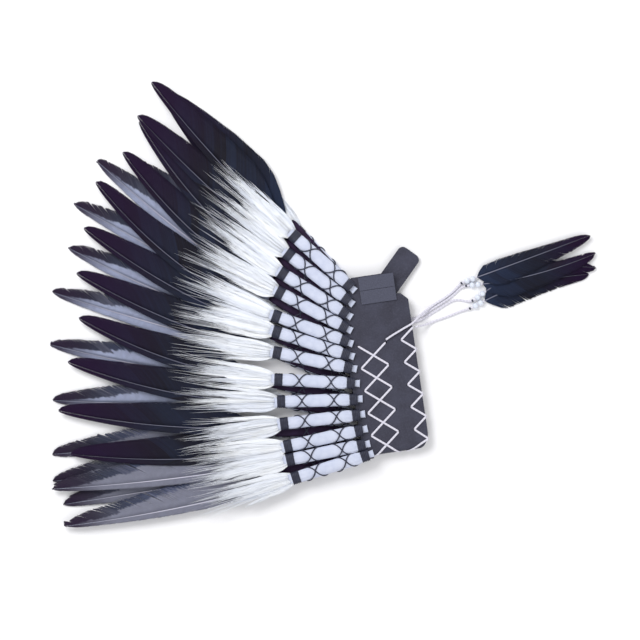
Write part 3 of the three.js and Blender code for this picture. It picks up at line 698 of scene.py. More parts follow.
# Bindings and crossed threads, both drawn coarser than the real thread. The crossed threads make a
# turn in each pitch and cross first at the start
BINDING_THREAD = 2.4
BINDING_SIDES = 28
BINDING_STEPS = 8
BINDING_RELIEF = 0.8
BINDING_GROWTH = 0.1
BINDING_TUCK = 0.5
CROSS_THREAD = 1.9
CROSS_PITCH = 46
CROSS_START = 22.5
CROSS_STATIONS = 64
CROSS_SIDES = 6
CROSS_NECK = 0.04
CROSS_LIFT = 0.42
CROSS_LIFT_OVER = 1.5
CROSS_STRAY = 0.15

# Dark strip inside a sleeve: widths at its two ends, clearances from the cloth and from the
# bindings, and the points of its tail past the mouth of a far sleeve
BACKING_WIDTH = (13.5, 17)
BACKING_THICKNESS = 0.9
BACKING_STATIONS = 30
BACKING_SIDES = 8
BACKING_START = -2
BACKING_END = MOUTH - 1
BACKING_CLEARANCE = (0.35, 0.9)
# The far strip's tail past the mouth fills a shaded gap under the near plumes with dark, as painted
# shade
BACKING_TAIL = ((6, 0, -1.2), (11, 0, -2.6))
BACKING_TAIL_WIDTH = 0.8


def sleeve_profile(face, side):
    """Rows of x, half width, half thickness and height along a sleeve, as in the CAD."""
    half = BINDING_LENGTH / 2
    mouth = NEAR_SLEEVE_HEIGHT if side > 0 else FAR_SLEEVE_HEIGHT
    low = face + side * (BINDING_CLEARANCE + LOWER_BINDING[1] / 2)
    rows = [
        (-half, *LOWER_BINDING, low), (half, *LOWER_BINDING, low),
        (half + SHOULDER[0], *SHOULDER[1:], None),
        (SLEEVE_LENGTH * SLEEVE_FULL, SLEEVE_WIDTH, SLEEVE_THICKNESS, None),
        (SLEEVE_LENGTH - half, *UPPER_BINDING, None),
        (SLEEVE_LENGTH + half, *UPPER_BINDING, mouth),
        (MOUTH, SLEEVE_WIDTH, UPPER_BINDING[1], mouth),
    ]
    made = []
    for x, width, thickness, height in rows:
        part = min(max((x - half) / (SLEEVE_LENGTH - BINDING_LENGTH), 0), 1)
        level = low + (mouth - low) * part if height is None else height
        if side < 0 and x > half:
            level = thickness / 2
        made.append((x, width / 2, thickness / 2, level))
    return np.array(made)


def along_sleeve(profile, x):
    """Half width, half thickness and height of a sleeve at x."""
    return [np.interp(x, profile[:, 0], profile[:, i]) for i in (1, 2, 3)]


def rounded(angles, power=0.82):
    """A flattened round section, fuller at its corners than an oval."""
    c, s = np.cos(angles), np.sin(angles)
    return np.sign(c) * np.abs(c) ** power, np.sign(s) * np.abs(s) ** power


def sleeve_rings(profile, x, angles, swell=1.0, grow=0.0, wave=0.0):
    """Rings round a sleeve at each x, swollen by a share, grown by millimetres and shifted along."""
    wide, high, level = (values[:, None] for values in along_sleeve(profile, x))
    y, z = rounded(angles)
    return np.stack([x[:, None] + wave + 0 * angles, (wide * swell + grow) * y,
                     level + (high * swell + grow) * z], -1)


def from_binding(x):
    """Distance from the nearer binding of a sleeve."""
    half = BINDING_LENGTH / 2
    return np.minimum(x - half, SLEEVE_LENGTH - half - x)


def drawn_in(x, share):
    """Swell of a sleeve that is drawn in by a share beside its bindings."""
    return 1 - share * np.exp(-((from_binding(x) / NECK_LENGTH) ** 2))


def cloth_tube(form, profile, chance):
    """Adds the white sleeve between its bindings, drawn in with small gathers at both ends, and the
    frilled edge beyond the upper binding."""
    half = BINDING_LENGTH / 2
    angles = around(CLOTH_SIDES)
    folds = chance.uniform(0, 2 * math.pi, 3)
    x = np.linspace(half - CLOTH_TUCK, SLEEVE_LENGTH - half + CLOTH_TUCK, CLOTH_STATIONS)
    gather = CLOTH_GATHER * np.exp(-np.clip(from_binding(x), 0, None) / CLOTH_GATHER_LENGTH)
    wide_ones, small_ones = (np.cos(n * angles + f) for n, f in zip(CLOTH_GATHERS, folds))
    ripple = wide_ones + 0.6 * small_ones
    crease = np.cos(CLOTH_CREASES * angles + folds[2] + x[:, None] / CLOTH_CREASE_LENGTH)
    body = drawn_in(x, CLOTH_NECK)[:, None] + gather[:, None] * ripple + CLOTH_CREASE * crease
    share = np.linspace(0, 1, CLOTH_STATIONS)[:, None]
    marks = marks_of(body.shape, chance.random(), share, 0.5)
    loft(form, sleeve_rings(profile, x, angles, body), marks)
    x = np.linspace(SLEEVE_LENGTH + half - CLOTH_TUCK, MOUTH, FRILL_STATIONS)
    share = np.linspace(0, 1, FRILL_STATIONS)[:, None]
    frill = 1 + FRILL * share * np.cos(FRILLS[0] * angles + folds[0])
    wave = FRILL_WAVE * share * np.cos(FRILLS[1] * angles + folds[1])
    loft(form, sleeve_rings(profile, x, angles, frill, wave=wave), (0.5, 1, 0.5))


def cloth_stub(form, face, side, chance):
    """Adds the end of the cloth that shows below the lower binding."""
    length, width, thickness = STUB
    half = BINDING_LENGTH / 2
    height = face + side * (BINDING_CLEARANCE + thickness / 2)
    drop = (half + length) * math.sin(BAND_SLOPE) if side < 0 else 0
    share = np.linspace(0, 1, STUB_STATIONS)
    x = np.linspace(CLOTH_TUCK - half, -half - length, STUB_STATIONS)
    path = np.stack([x, chance.normal(0, 0.3) + 0 * x, height - drop * share], -1)
    flare = np.linspace(0.86, 1.0, STUB_STATIONS) * (1 + 0.03 * np.cos(x * 2))
    thin = np.linspace(1, 0.8, STUB_STATIONS)
    sweep(form, path, width / 2 * flare, thickness / 2 * thin, STUB_SIDES, (0.5, 0, 0.5))


def binding(form, profile, middle):
    """Adds one binding: turns of waxed thread side by side, drawn coarser than the real thread."""
    half = BINDING_LENGTH / 2
    turns = int(BINDING_LENGTH / BINDING_THREAD)
    x = np.linspace(middle - half, middle + half, turns * BINDING_STEPS + 1)
    angles = around(BINDING_SIDES)
    along = x[:, None] - x[0]
    turn = np.abs(np.sin(math.pi * along / BINDING_THREAD + angles / 2))
    grow = BINDING_GROWTH + BINDING_RELIEF * turn
    grow[0], grow[-1] = -BINDING_TUCK, -BINDING_TUCK
    # The tone mark holds each turn's relief, which the thread's material turns into painted shade in
    # the grooves
    marks = marks_of(turn.shape, turn, along / BINDING_LENGTH, 0.5)
    loft(form, sleeve_rings(profile, x, angles, grow=grow), marks)


def crossed_threads(form, profile, phase):
    """Adds the two threads that wind round a sleeve against each other and cross on its face."""
    half = BINDING_LENGTH / 2
    x = np.linspace(half, SLEEVE_LENGTH - half, CROSS_STATIONS)
    wide, high, level = along_sleeve(profile, x)
    hold = drawn_in(x, CROSS_NECK)
    turns = (x - half - CROSS_START) / CROSS_PITCH
    for way, over in ((1, 1), (-1, CROSS_LIFT_OVER)):
        y, z = rounded(math.pi / 2 + way * 2 * math.pi * turns + phase)
        lift = CROSS_THREAD * CROSS_LIFT * over
        height = np.maximum(level + (high * hold + lift) * z, CROSS_THREAD / 2)
        path = np.stack([x, (wide * hold + lift) * y, height], -1)
        out = np.stack([0 * x, y, z], -1)
        sweep(form, path, CROSS_THREAD / 2, CROSS_THREAD / 2, CROSS_SIDES, PLAIN, out)


def backing(form, profile, side):
    """Adds the dark strip down the inner face of a sleeve, which stands for the sleeve's dark lining.
    On the far half, where it lies uppermost, it starts over the cloth stub, widens towards the
    feather and runs on past the mouth, under the near plumes; there it also fills gaps between the
    near sleeves and plumes that are dark with shade, so its dark is partly painted shade."""
    # On the far half the strip starts over the cloth stub, where its dark is painted shade
    start = BACKING_START if side > 0 else -BINDING_LENGTH / 2 - STUB[0]
    x = np.linspace(start, BACKING_END, BACKING_STATIONS)
    _, high, level = along_sleeve(profile, x)
    clearance = np.where(from_binding(x) < 0, BACKING_CLEARANCE[1], BACKING_CLEARANCE[0])
    path = np.stack([x, 0 * x, level - side * (high + clearance)], -1)
    half = 0 * x + BACKING_WIDTH[0] / 2
    if side < 0:
        half = np.linspace(BACKING_WIDTH[0], BACKING_WIDTH[1], BACKING_STATIONS) / 2
        half = np.append(half, [half[-1], BACKING_TAIL_WIDTH * half[-1]])
        path = np.concatenate([path, path[-1] + np.array(BACKING_TAIL)])
    sweep(form, path, half, BACKING_THICKNESS / 2, BACKING_SIDES, PLAIN)


# Lacing

# Level is the height of a lace's middle above the leather. A run rises over another that it crosses,
# and dives and narrows at its holes, each over a short length. Its two ends have closer stations
LACE_WIDTH = 3
LACE_THICKNESS = 1.2
LACE_SIDES = 10
LACE_STATIONS = {"end": 5, "middle": 11}
LACE_END_SHARE = 0.08
LACE_LEVEL = 1.0
LACE_CROSSING = 0.9
LACE_CROSSING_LENGTH = 3.4
LACE_DIVE = 2.6
LACE_DIVE_LENGTH = 0.9
LACE_PINCH = 0.35
LACE_PINCH_LENGTH = 1.5
LACE_PITCH = 32.6
DIAMOND_TOP = 82
DIAMOND_FOOT = 41.5
EDGE_LACE_HEIGHT = 19
EDGE_OVERHANG = 1.4

# Corners of one zigzag on each side of the forehead
LACE_END = 5


def lace_run(form, start, end, over=0.0):
    """Adds one run of lace on the band, from hole to hole, diving into both. over lifts its middle
    where it crosses another run."""
    (a0, u0), (a1, u1) = start, end
    length = math.hypot(a1 - a0, u1 - u0)
    end_part = np.linspace(0, LACE_END_SHARE, LACE_STATIONS["end"], endpoint=False)
    half = np.concatenate([end_part, np.linspace(LACE_END_SHARE, 0.5, LACE_STATIONS["middle"])])
    t = np.concatenate([half, (1 - half[:-1])[::-1]])
    to_end = np.minimum(t, 1 - t) * length
    out = LACE_LEVEL - LACE_DIVE * np.exp(-((to_end / LACE_DIVE_LENGTH) ** 2))
    out = out + over * np.exp(-(((t - 0.5) * length / LACE_CROSSING_LENGTH) ** 2))
    along, up = a0 + (a1 - a0) * t, u0 + (u1 - u0) * t
    path = on_band(along, up, out)
    outward = unit(on_band(along, up, out + 1) - path)
    pinch = 1 - LACE_PINCH * np.exp(-((to_end / LACE_PINCH_LENGTH) ** 2))
    places = np.repeat(np.stack([t * length, 0 * t, 0 * t], -1), LACE_SIDES, axis=0)
    sweep(form, path, LACE_WIDTH / 2 * pinch, LACE_THICKNESS / 2, LACE_SIDES, PLAIN, outward, places)


def diamond_corners(phase):
    """Corners of one zigzag of the diamonds. The two zigzags differ in phase by one corner."""
    levels = (DIAMOND_TOP, DIAMOND_FOOT)
    return [(i * LACE_PITCH, levels[(i + LACE_END + phase) % 2])
            for i in range(-LACE_END, LACE_END + 1)]


def edge_corners():
    """Corners of the zigzag that whips the lower edge."""
    corners = []
    for i in range(-2 * LACE_END - 1, 2 * LACE_END + 2):
        along = i * LACE_PITCH / 2
        rise = EDGE_LACE_HEIGHT if i % 2 == 0 else -EDGE_OVERHANG
        corners.append((along, lower_edge(along) + rise))
    return corners


# Drops

# Laces, small feathers, beads and knots. A small feather's barbs stand at a share of the large ones'
# spacing, a bead's hole has a rounded mouth, and a knot sits a little before its lace's end
DROP_SIDES = 12
ROUTE_STEPS = 6
DROP_PILE_START = 0.12
DROP_BARBS = 0.7
DROP_FIRST_BARB = 0.01
DROP_SHAFT_RISE = 0.15
BEAD_DIAMETER = 8.5
BEAD_SPACING = 8.8
BEAD_BORE = 4
BEAD_MOUTH = 0.25
BEAD_ROUNDING = 0.35
BEAD_SIDES = 32
BEAD_STATIONS = {"outside": 17, "hole": 5}
KNOT_FROM_END = 23.5
KNOT_LENGTH = 3.6
KNOT_RADIUS = 2.0
KNOT_SIDES = 14
KNOT_STATIONS = 17
KNOT_STRANDS = 14
KNOT_RELIEF = 0.08
KNOT_ROUNDING = 0.75
KNOT_OFF_FLOOR = 0.02


def smooth_route(points):
    """A centripetal Catmull-Rom curve through points, each of its stretches in a few steps."""
    points = np.array(points, float)
    points = np.concatenate([[2 * points[0] - points[1]], points, [2 * points[-1] - points[-2]]])
    gaps = np.linalg.norm(np.diff(points, axis=0), axis=1) ** 0.5
    curve = []
    for i in range(1, len(points) - 2):
        a, b, c, d = points[i - 1:i + 3]
        before, here, after = gaps[i - 1:i + 2]
        leave = here * ((b - a) / before - (c - a) / (before + here) + (c - b) / here)
        arrive = here * ((c - b) / here - (d - b) / (here + after) + (d - c) / after)
        for t in np.linspace(0, 1, ROUTE_STEPS, endpoint=False):
            curve.append(b * (2 * t ** 3 - 3 * t ** 2 + 1) + leave * (t ** 3 - 2 * t ** 2 + t)
                         + c * (3 * t ** 2 - 2 * t ** 3) + arrive * (t ** 3 - t ** 2))
    curve.append(points[-2])
    return np.array(curve)


def bead(form, middle, direction):
    """Adds a round bead, drilled along its lace and rounded into the hole."""
    radius, bore, sides = BEAD_DIAMETER / 2, BEAD_BORE / 2, BEAD_SIDES
    stop = math.acos((bore + BEAD_MOUTH) / radius)
    bulge = np.linspace(-stop, stop, BEAD_STATIONS["outside"])
    outside = [(radius * math.cos(t), radius * math.sin(t)) for t in bulge]
    end = outside[-1][1] - BEAD_ROUNDING
    hole = [(bore, y) for y in np.linspace(end, -end, BEAD_STATIONS["hole"])]
    outline = np.array(outside + hole)
    axis = unit(np.array(direction, float))
    side = unit(np.cross(axis, UP))
    rise = np.cross(side, axis)
    turn = 2 * math.pi * np.arange(sides) / sides
    ring = np.cos(turn)[:, None] * side + np.sin(turn)[:, None] * rise
    points = middle + outline[:, 0, None, None] * ring + outline[:, 1, None, None] * axis
    faces = []
    for i in range(len(outline)):
        a, b = i * sides, (i + 1) % len(outline) * sides
        for j in range(sides):
            k = (j + 1) % sides
            faces.append((a + j, b + j, b + k, a + k))
    form.add(points.reshape(-1, 3), faces, np.array(PLAIN))


def knot(form, route):
    """Adds a hard little knot of dark thread round a lace, a little before its end."""
    steps = distances(route)
    along = steps[-1] - KNOT_FROM_END + np.linspace(-0.5, 0.5, KNOT_STATIONS) * KNOT_LENGTH
    path = np.stack([np.interp(along, steps, route[:, i]) for i in range(3)], -1)
    u = np.linspace(-1, 1, KNOT_STATIONS)
    strand = 1 + KNOT_RELIEF * np.cos(KNOT_STRANDS * u)
    size = KNOT_RADIUS * np.sqrt(np.clip(1 - KNOT_ROUNDING * u ** 2, 0, 1)) * strand
    high = np.minimum(size, path[:, 2] - KNOT_OFF_FLOOR)
    sweep(form, path, size, high, KNOT_SIDES, PLAIN)


# Materials

# Blender's wave texture repeats every 2 pi / 20 of its scaled length
WAVE_LENGTH = 2 * math.pi / 20


def add_node(tree, kind, links=(), out=0, **settings):
    """Adds a shader node, sets its properties, and sets or links its inputs, given in order or by
    name. It hands back one of the node's outputs."""
    made = tree.nodes.new("ShaderNode" + kind)
    for name, value in settings.items():
        setattr(made, name, value)
    for name, value in (links.items() if isinstance(links, dict) else enumerate(links)):
        if isinstance(value, bpy.types.NodeSocket):
            tree.links.new(value, made.inputs[name])
        else:
            made.inputs[name].default_value = value
    return made.outputs[out] if made.outputs else None


# Settings of a mix of two colours: its inputs 0, 6 and 7 are the share and the colours, and its
# output 2 the colour between them
BLEND = {"out": 2, "data_type": "RGBA"}


def per(size):
    """Scale of a pattern whose features are size millimetres across."""
    return 1 / (size * MM)


def rgba(colour):
    """A colour with its alpha, from a hex code or a linear colour."""
    return (*(linear(colour) if isinstance(colour, str) else colour), 1)


def start_material(name):
    """A new material with its own empty tree, the three marks and the place of each point."""
    material = bpy.data.materials.new(name)
    material.use_nodes = True
    tree = material.node_tree
    tree.nodes.clear()
    mark = add_node(tree, "Attribute", out="Vector", attribute_name="mark")
    marks = [add_node(tree, "SeparateXYZ", (mark,), axis) for axis in "XYZ"]
    return material, tree, marks, add_node(tree, "Attribute", out="Vector", attribute_name="place")


def end_material(tree, sockets, height=None, depth=0.1, strength=0.5):
    """Closes a material with its shader. height is the relief and depth its depth in mm."""
    if height is not None:
        sockets["Normal"] = add_node(tree, "Bump", {
            "Height": height, "Distance": depth * MM, "Strength": strength})
    add_node(tree, "OutputMaterial", (add_node(tree, "BsdfPrincipled", sockets),))


def dyed_vane(colours):
    """Goose quill vane, dyed black and pressed flat. Zipped barbs give a silky, slightly blue sheen,
    painted into the colour, that changes from one run of barbs to the next and is strongest towards
    the root, and a violet tip. Their fine relief is drawn coarser than the real one, which would be
    too fine to see."""
    material, tree, (tone, along, _), place = start_material("goose quill vane dyed black")
    # Painted sheen: the blue-black is mixed into the colour run by run of barbs, and most towards the
    # root
    run = add_node(tree, "MapRange", (tone, 0.15, 0.95, 0, 0.5))
    inner = add_node(tree, "MapRange", (along, 0.05, 0.5, 0.7, 0.05))
    share = add_node(tree, "Math", (run, inner), operation="ADD")
    body = add_node(tree, "Mix", {0: share, 6: rgba(colours.black), 7: rgba(colours.blue)}, **BLEND)
    tip = add_node(tree, "MapRange", (along, 0.55, 0.9, 0, 0.9))
    colour = add_node(tree, "Mix", {0: tip, 6: body, 7: rgba(colours.violet)}, **BLEND)
    patch = add_node(tree, "TexNoise", {"Vector": place, "Scale": per(9)})
    barbs = add_node(tree, "TexNoise", {"Vector": place, "Scale": per(0.8)})
    end_material(tree, {
        "Base Color": colour, "Roughness": add_node(tree, "MapRange", (patch, 0.3, 0.7, 0.42, 0.6)),
        "Specular IOR Level": 0.15, "Sheen Weight": 0.01, "Sheen Roughness": 0.4,
    }, barbs, 0.12, 0.4)
    return material


def pale_vane(colours, warm=0.0, name="goose quill vane underside"):
    """Underside of the same vane. The waxy narrow vane and the inner part of the wide one are silver,
    with a crisp, slightly toothed edge, and the rest is slate with paler runs of barbs, a painted
    highlight where runs catch the light. Its relief is as coarse as the upper side's."""
    material, tree, (tone, along, across), place = start_material(name)
    aside = add_node(tree, "Math", (across, 0.5), operation="SUBTRACT")
    toothed = add_node(tree, "Math", (tone, -0.16, aside), operation="MULTIPLY_ADD")
    reach = add_node(tree, "MapRange", (along, 0.6, 0.97, -0.42, -0.1))
    inside = add_node(tree, "Math", (toothed, reach), operation="SUBTRACT")
    silvery = add_node(tree, "MapRange", (inside, -0.04, 0.0, 0, 1))
    cloud = add_node(tree, "TexNoise", {"Vector": place, "Scale": per(7), "Detail": 3})
    shade = add_node(tree, "MapRange", (cloud, 0.3, 0.75, 0, 0.4))
    waxy = add_node(tree, "Mix", {
        0: shade, 6: rgba(colours.silver), 7: rgba("#7c7e97")}, **BLEND)
    dull = add_node(tree, "Mix", {0: warm, 6: waxy, 7: rgba("#5f5a5e")}, **BLEND)
    # Painted highlight: runs of barbs are lightened towards a pale grey-blue by their tone
    painted_streak_highlight = add_node(tree, "MapRange", (tone, 0.45, 0.9, 0, 0.7))
    slate = add_node(tree, "Mix", {0: painted_streak_highlight, 6: rgba(colours.slate), 7: rgba("#9092ab")}, **BLEND)
    deep = add_node(tree, "MapRange", (along, 0.55, 0.88, 0.1, 0.8))
    dark = add_node(tree, "Mix", {0: deep, 6: slate, 7: rgba(colours.black)}, **BLEND)
    both = add_node(tree, "Mix", {0: silvery, 6: dark, 7: dull}, **BLEND)
    tip = add_node(tree, "MapRange", (along, 0.8, 0.95, 0, 0.9))
    colour = add_node(tree, "Mix", {0: tip, 6: both, 7: rgba(colours.violet)}, **BLEND)
    barbs = add_node(tree, "TexNoise", {"Vector": place, "Scale": per(0.8)})
    end_material(tree, {
        "Base Color": colour, "Roughness": add_node(tree, "MapRange", (tone, 0, 1, 0.35, 0.5)),
        "Specular IOR Level": 0.3, "Sheen Weight": 0.05, "Sheen Roughness": 0.35,
    }, barbs, 0.12, 0.4)
    return material


def quill_horn(colours, pale):
    """Feather shaft of horn. It is smooth and a little glossy, dark where it is dyed and pearly
    below."""
    name = "feather shaft pearly horn" if pale else "feather shaft dyed horn"
    material, tree, (_, along, _), place = start_material(name)
    first, second = (colours.horn, colours.slate) if pale else (linear("#6c6e82"), colours.black)
    fade = add_node(tree, "MapRange", (along, 0.6, 0.98, 0, 0.85))
    colour = add_node(tree, "Mix", {0: fade, 6: rgba(first), 7: rgba(second)}, **BLEND)
    scrape = add_node(tree, "TexNoise", {"Vector": place, "Scale": per(2.5)})
    end_material(tree, {"Base Color": colour, "Roughness": 0.35}, scrape, 0.1, 0.3)
    return material


def silky_plume(colours):
    """White hackle fibres, washed and combed out. They scatter light between them, so the plume
    glows softly, with faint cool and warm locks and grey hollows. Both the fibres and their relief
    are drawn coarser than real ones."""
    material, tree, (tone, _, _), place = start_material("white hackle fibres combed")
    lock = add_node(tree, "MapRange", (tone, 0, 1, 0, 0.8))
    cool = add_node(tree, "Mix", {0: lock, 6: rgba(colours.plume), 7: rgba("#dbe1ef")}, **BLEND)
    cloud = add_node(tree, "TexNoise", {"Vector": place, "Scale": per(30)})
    patch = add_node(tree, "MapRange", (cloud, 0.5, 0.75, 0, 0.35))
    warm = add_node(tree, "Mix", {0: patch, 6: cool, 7: rgba("#e6e3d9")}, **BLEND)
    fibre = add_node(tree, "TexNoise", {"Vector": place, "Scale": per(1.2)})
    end_material(tree, {
        "Base Color": warm, "Roughness": 0.55, "Specular IOR Level": 0.3, "Sheen Weight": 0.1,
        "Sheen Roughness": 0.3,
    }, fibre, 0.1, 0.3)
    return material


def woven(tree, place, pitch):
    """Heights of a plain weave whose threads are pitch millimetres apart."""
    rows = [add_node(tree, "TexWave", {
        "Vector": place, "Scale": WAVE_LENGTH * per(pitch), "Distortion": 0.3,
    }, "Fac", bands_direction=axis) for axis in "XY"]
    return add_node(tree, "Math", rows, operation="MAXIMUM")


def cotton_cloth(colours):
    """Plain-woven white cotton, pulled tight round the quills. It is matt, with soft creases that
    carry painted cool shade, and a weave drawn coarser than the real one, which would be too fine to
    see."""
    material, tree, _, place = start_material("white cotton plain weave")
    crease = add_node(tree, "TexNoise", {"Vector": place, "Scale": per(14), "Detail": 3})
    # Painted shade: the crease pattern darkens the white to a cooler grey-blue
    painted_shade_mask = add_node(tree, "MapRange", (crease, 0.4, 0.7, 0, 0.6))
    colour = add_node(tree, "Mix", {0: painted_shade_mask, 6: rgba(colours.cloth), 7: rgba("#bac2dc")}, **BLEND)
    height = add_node(tree, "Math", (woven(tree, place, 1.6), 0.3, crease),
                      operation="MULTIPLY_ADD")
    end_material(tree, {"Base Color": colour, "Roughness": 0.85, "Sheen Weight": 0.1,
                        "Sheen Roughness": 0.5}, height, 2.2, 0.6)
    return material


def waxed_thread(colours):
    """Waxed thread, wound or crossed by hand. It is dark with a low gloss on each turn, with painted
    shade in the grooves between a binding's turns, and drawn coarser than the real thread, whose
    turns would be too fine to see."""
    material, tree, (tone, _, _), place = start_material("waxed thread wound")
    rub = add_node(tree, "TexNoise", {"Vector": place, "Scale": per(4), "Detail": 3})
    worn = add_node(tree, "MapRange", (rub, 0.35, 0.8, 0, 0.5))
    colour = add_node(tree, "Mix", {0: worn, 6: rgba(colours.thread), 7: rgba("#454a60")}, **BLEND)
    # Painted shade: where a binding's turns dip into the grooves between them, the colour is darkened
    # towards black
    painted_groove_shade = add_node(tree, "MapRange", (tone, 0, 0.5, 0.8, 0))
    deep = add_node(tree, "Mix", {0: painted_groove_shade, 6: colour, 7: rgba(colours.black)}, **BLEND)
    fibre = add_node(tree, "TexNoise", {"Vector": place, "Scale": per(0.5)})
    end_material(tree, {"Base Color": deep, "Roughness": 0.5, "Specular IOR Level": 0.35}, fibre)
    return material


def backing_strip(colours):
    """Soft dark cloth strip laid down the inner face of a sleeve. It is matt, with a violet cast and
    a weave drawn coarser than the real one. Where it fills gaps on the far half, its dark is partly
    painted shade."""
    material, tree, _, place = start_material("cotton strip dyed black")
    cloud = add_node(tree, "TexNoise", {"Vector": place, "Scale": per(12), "Detail": 3})
    shade = add_node(tree, "MapRange", (cloud, 0.3, 0.75, 0, 0.5))
    colour = add_node(tree, "Mix", {
        0: shade, 6: rgba(colours.backing), 7: rgba(colours.black)}, **BLEND)
    end_material(tree, {"Base Color": colour, "Roughness": 0.9, "Specular IOR Level": 0.2},
                 woven(tree, place, 1.6), 0.25)
    return material


def tanned_leather(colours):
    """Dyed cowhide, cut flat. It is grey-black with fine pores, drawn coarser than real ones, dull
    rubbed patches and a soft low gloss."""
    material, tree, _, _ = start_material("cowhide dyed grey-black")
    here = add_node(tree, "TexCoord", out="Object")
    patch = add_node(tree, "TexNoise", {"Vector": here, "Scale": per(26), "Detail": 4})
    dull = add_node(tree, "MapRange", (patch, 0.35, 0.7, 0, 0.7))
    body = add_node(tree, "Mix", {0: dull, 6: rgba(colours.leather), 7: rgba("#2a2935")}, **BLEND)
    grain = add_node(tree, "TexNoise", {"Vector": here, "Scale": per(2.2), "Detail": 3})
    rub = add_node(tree, "MapRange", (grain, 0.45, 0.75, 0, 0.35))
    colour = add_node(tree, "Mix", {0: rub, 6: body, 7: rgba("#4c4d5e")}, **BLEND)
    pores = add_node(tree, "TexVoronoi", {"Vector": here, "Scale": per(1.6)},
                     feature="DISTANCE_TO_EDGE")
    open_pores = add_node(tree, "MapRange", (pores, 0, 0.25, 0, 0.5))
    height = add_node(tree, "Math", (open_pores, patch), operation="ADD")
    end_material(tree, {
        "Base Color": colour, "Roughness": add_node(tree, "MapRange", (patch, 0.3, 0.75, 0.5, 0.7)),
        "Specular IOR Level": 0.35,
    }, height, 0.35)
    return material


def loop_tape(colours):
    """Nylon loop tape, napped. Its tiny loops scatter light evenly, and are drawn coarser than real
    ones. Painted shade among the loops darkens its colour in patches that follow their relief."""
    material, tree, _, _ = start_material("nylon loop tape")
    here = add_node(tree, "TexCoord", out="Object")
    loops = add_node(tree, "TexNoise", {
        "Vector": here, "Scale": per(1.3), "Detail": 4, "Roughness": 0.7})
    # Painted shade: the tape is darkened where the loops' noise is high, the same noise as its relief
    painted_shade_mask = add_node(tree, "MapRange", (loops, 0.3, 0.75, 0, 1))
    colour = add_node(tree, "Mix", {0: painted_shade_mask, 6: rgba(colours.tape), 7: rgba("#3d3f4c")}, **BLEND)
    end_material(tree, {"Base Color": colour, "Roughness": 0.95, "Sheen Weight": 0.3,
                        "Sheen Roughness": 0.5}, loops, 0.7, 0.7)
    return material


def braided_lace(colours):
    """Braided cotton lace, bleached. It is matt white with slanting rows, drawn coarser than the
    real braid, with painted shade in the grooves between them."""
    material, tree, _, place = start_material("cotton lace braided")
    rows = add_node(tree, "TexWave", {
        "Vector": place, "Scale": WAVE_LENGTH * per(2.4), "Distortion": 2.0,
    }, "Fac", bands_direction="DIAGONAL")
    # Painted shade: the grooves between the braid's rows are darkened to grey
    painted_groove_shade = add_node(tree, "MapRange", (rows, 0, 1, 0.4, 0))
    colour = add_node(tree, "Mix", {0: painted_groove_shade, 6: rgba(colours.lace), 7: rgba("#b9b8ca")}, **BLEND)
    end_material(tree, {"Base Color": colour, "Roughness": 0.75, "Sheen Weight": 0.1}, rows, 0.3)
    return material


def bead_gloss(colours):
    """White moulded acrylic, polished. It gives a clean highlight and faintly milky edges."""
    material, tree, _, place = start_material("white acrylic moulded")
    milk = add_node(tree, "TexNoise", {"Vector": place, "Scale": per(3)})
    share = add_node(tree, "MapRange", (milk, 0.4, 0.7, 0, 0.3))
    colour = add_node(tree, "Mix", {0: share, 6: rgba(colours.bead), 7: rgba("#c6cfe2")}, **BLEND)
    end_material(tree, {"Base Color": colour, "Roughness": 0.16, "IOR": 1.49, "Coat Weight": 0.3},
                 milk, 0.05, 0.2)
    return material


def floor_paint(colours):
    """Matt white paint. It is even, so only soft shadows show on it."""
    material, tree, _, place = start_material("matt white paint")
    cloud = add_node(tree, "TexNoise", {"Vector": place, "Scale": per(900)})
    colour = add_node(tree, "Mix", {0: cloud, 6: rgba(colours.floor), 7: rgba("#f9f9fc")}, **BLEND)
    end_material(tree, {"Base Color": colour, "Roughness": 0.9})
    return material


MAKERS = {
    "dyed": dyed_vane,
    "pale": pale_vane,
    "brownish": lambda colours: pale_vane(colours, 0.6, "goose quill vane underside brownish"),
    "dark horn": lambda colours: quill_horn(colours, False),
    "pale horn": lambda colours: quill_horn(colours, True),
    "plume": silky_plume,
    "cloth": cotton_cloth,
    "thread": waxed_thread,
    "backing": backing_strip,
    "leather": tanned_leather,
    "tape": loop_tape,
    "lace": braided_lace,
    "bead": bead_gloss,
    "floor": floor_paint,
}
made_materials = {}


def material_of(context, kind):
    """The material of a kind, made when it is first asked for."""
    if kind not in made_materials:
        made_materials[kind] = MAKERS[kind](context.scene.headdress_colours)
    return made_materials[kind]


# Operators

# The pieces that keep their CAD mesh: their material and the rounding of their edges
KEPT_MESHES = {
    "headband": ("leather", 0.5),
    "closing_tab": ("leather", 0.5),
    "loop_tape_inner": ("tape", 0.45),
    "loop_tape_outer": ("tape", 0.45),
}
SHARP_EDGE = math.radians(40)

# The picture spans this much of the floor, with its middle at VIEW_CENTRE
VIEW_WIDTH = 928
VIEW_CENTRE = (116.3, -23.0)
CAMERA_HEIGHT = 4000
CAMERA_REACH = 12000
SENSOR = 36

# Stage: half the floor's side, its drop under the headdress in millimetres, the strength of the
# light all round, and the place, size and power of each lamp, in metres and watts
FLOOR_HALF = 6.0
FLOOR_DROP = 0.2
SKY_STRENGTH = 0.6
LAMPS = {"key": ((-0.9, 1.1, 2.0), 1.2, 38), "fill": ((1.4, -0.9, 1.8), 1.8, 13)}


def chance_for(name):
    """Random numbers of a piece's own, the same in every run."""
    return np.random.default_rng([SEED, *name.encode()])


class HEADDRESS_OT_camera(bpy.types.Operator):
    """Looks straight down on the headdress, as the photograph does"""
    bl_idname = "headdress.camera"
    bl_label = "Camera"

    def execute(self, context):
        data = bpy.data.cameras.new("camera")
        data.sensor_width = SENSOR
        data.lens = SENSOR * CAMERA_HEIGHT / VIEW_WIDTH
        data.clip_end = CAMERA_REACH * MM
        camera = bpy.data.objects.new("camera", data)
        camera.location = Vector((*VIEW_CENTRE, CAMERA_HEIGHT)) * MM
        context.scene.collection.objects.link(camera)
        context.scene.camera = camera
        return {"FINISHED"}


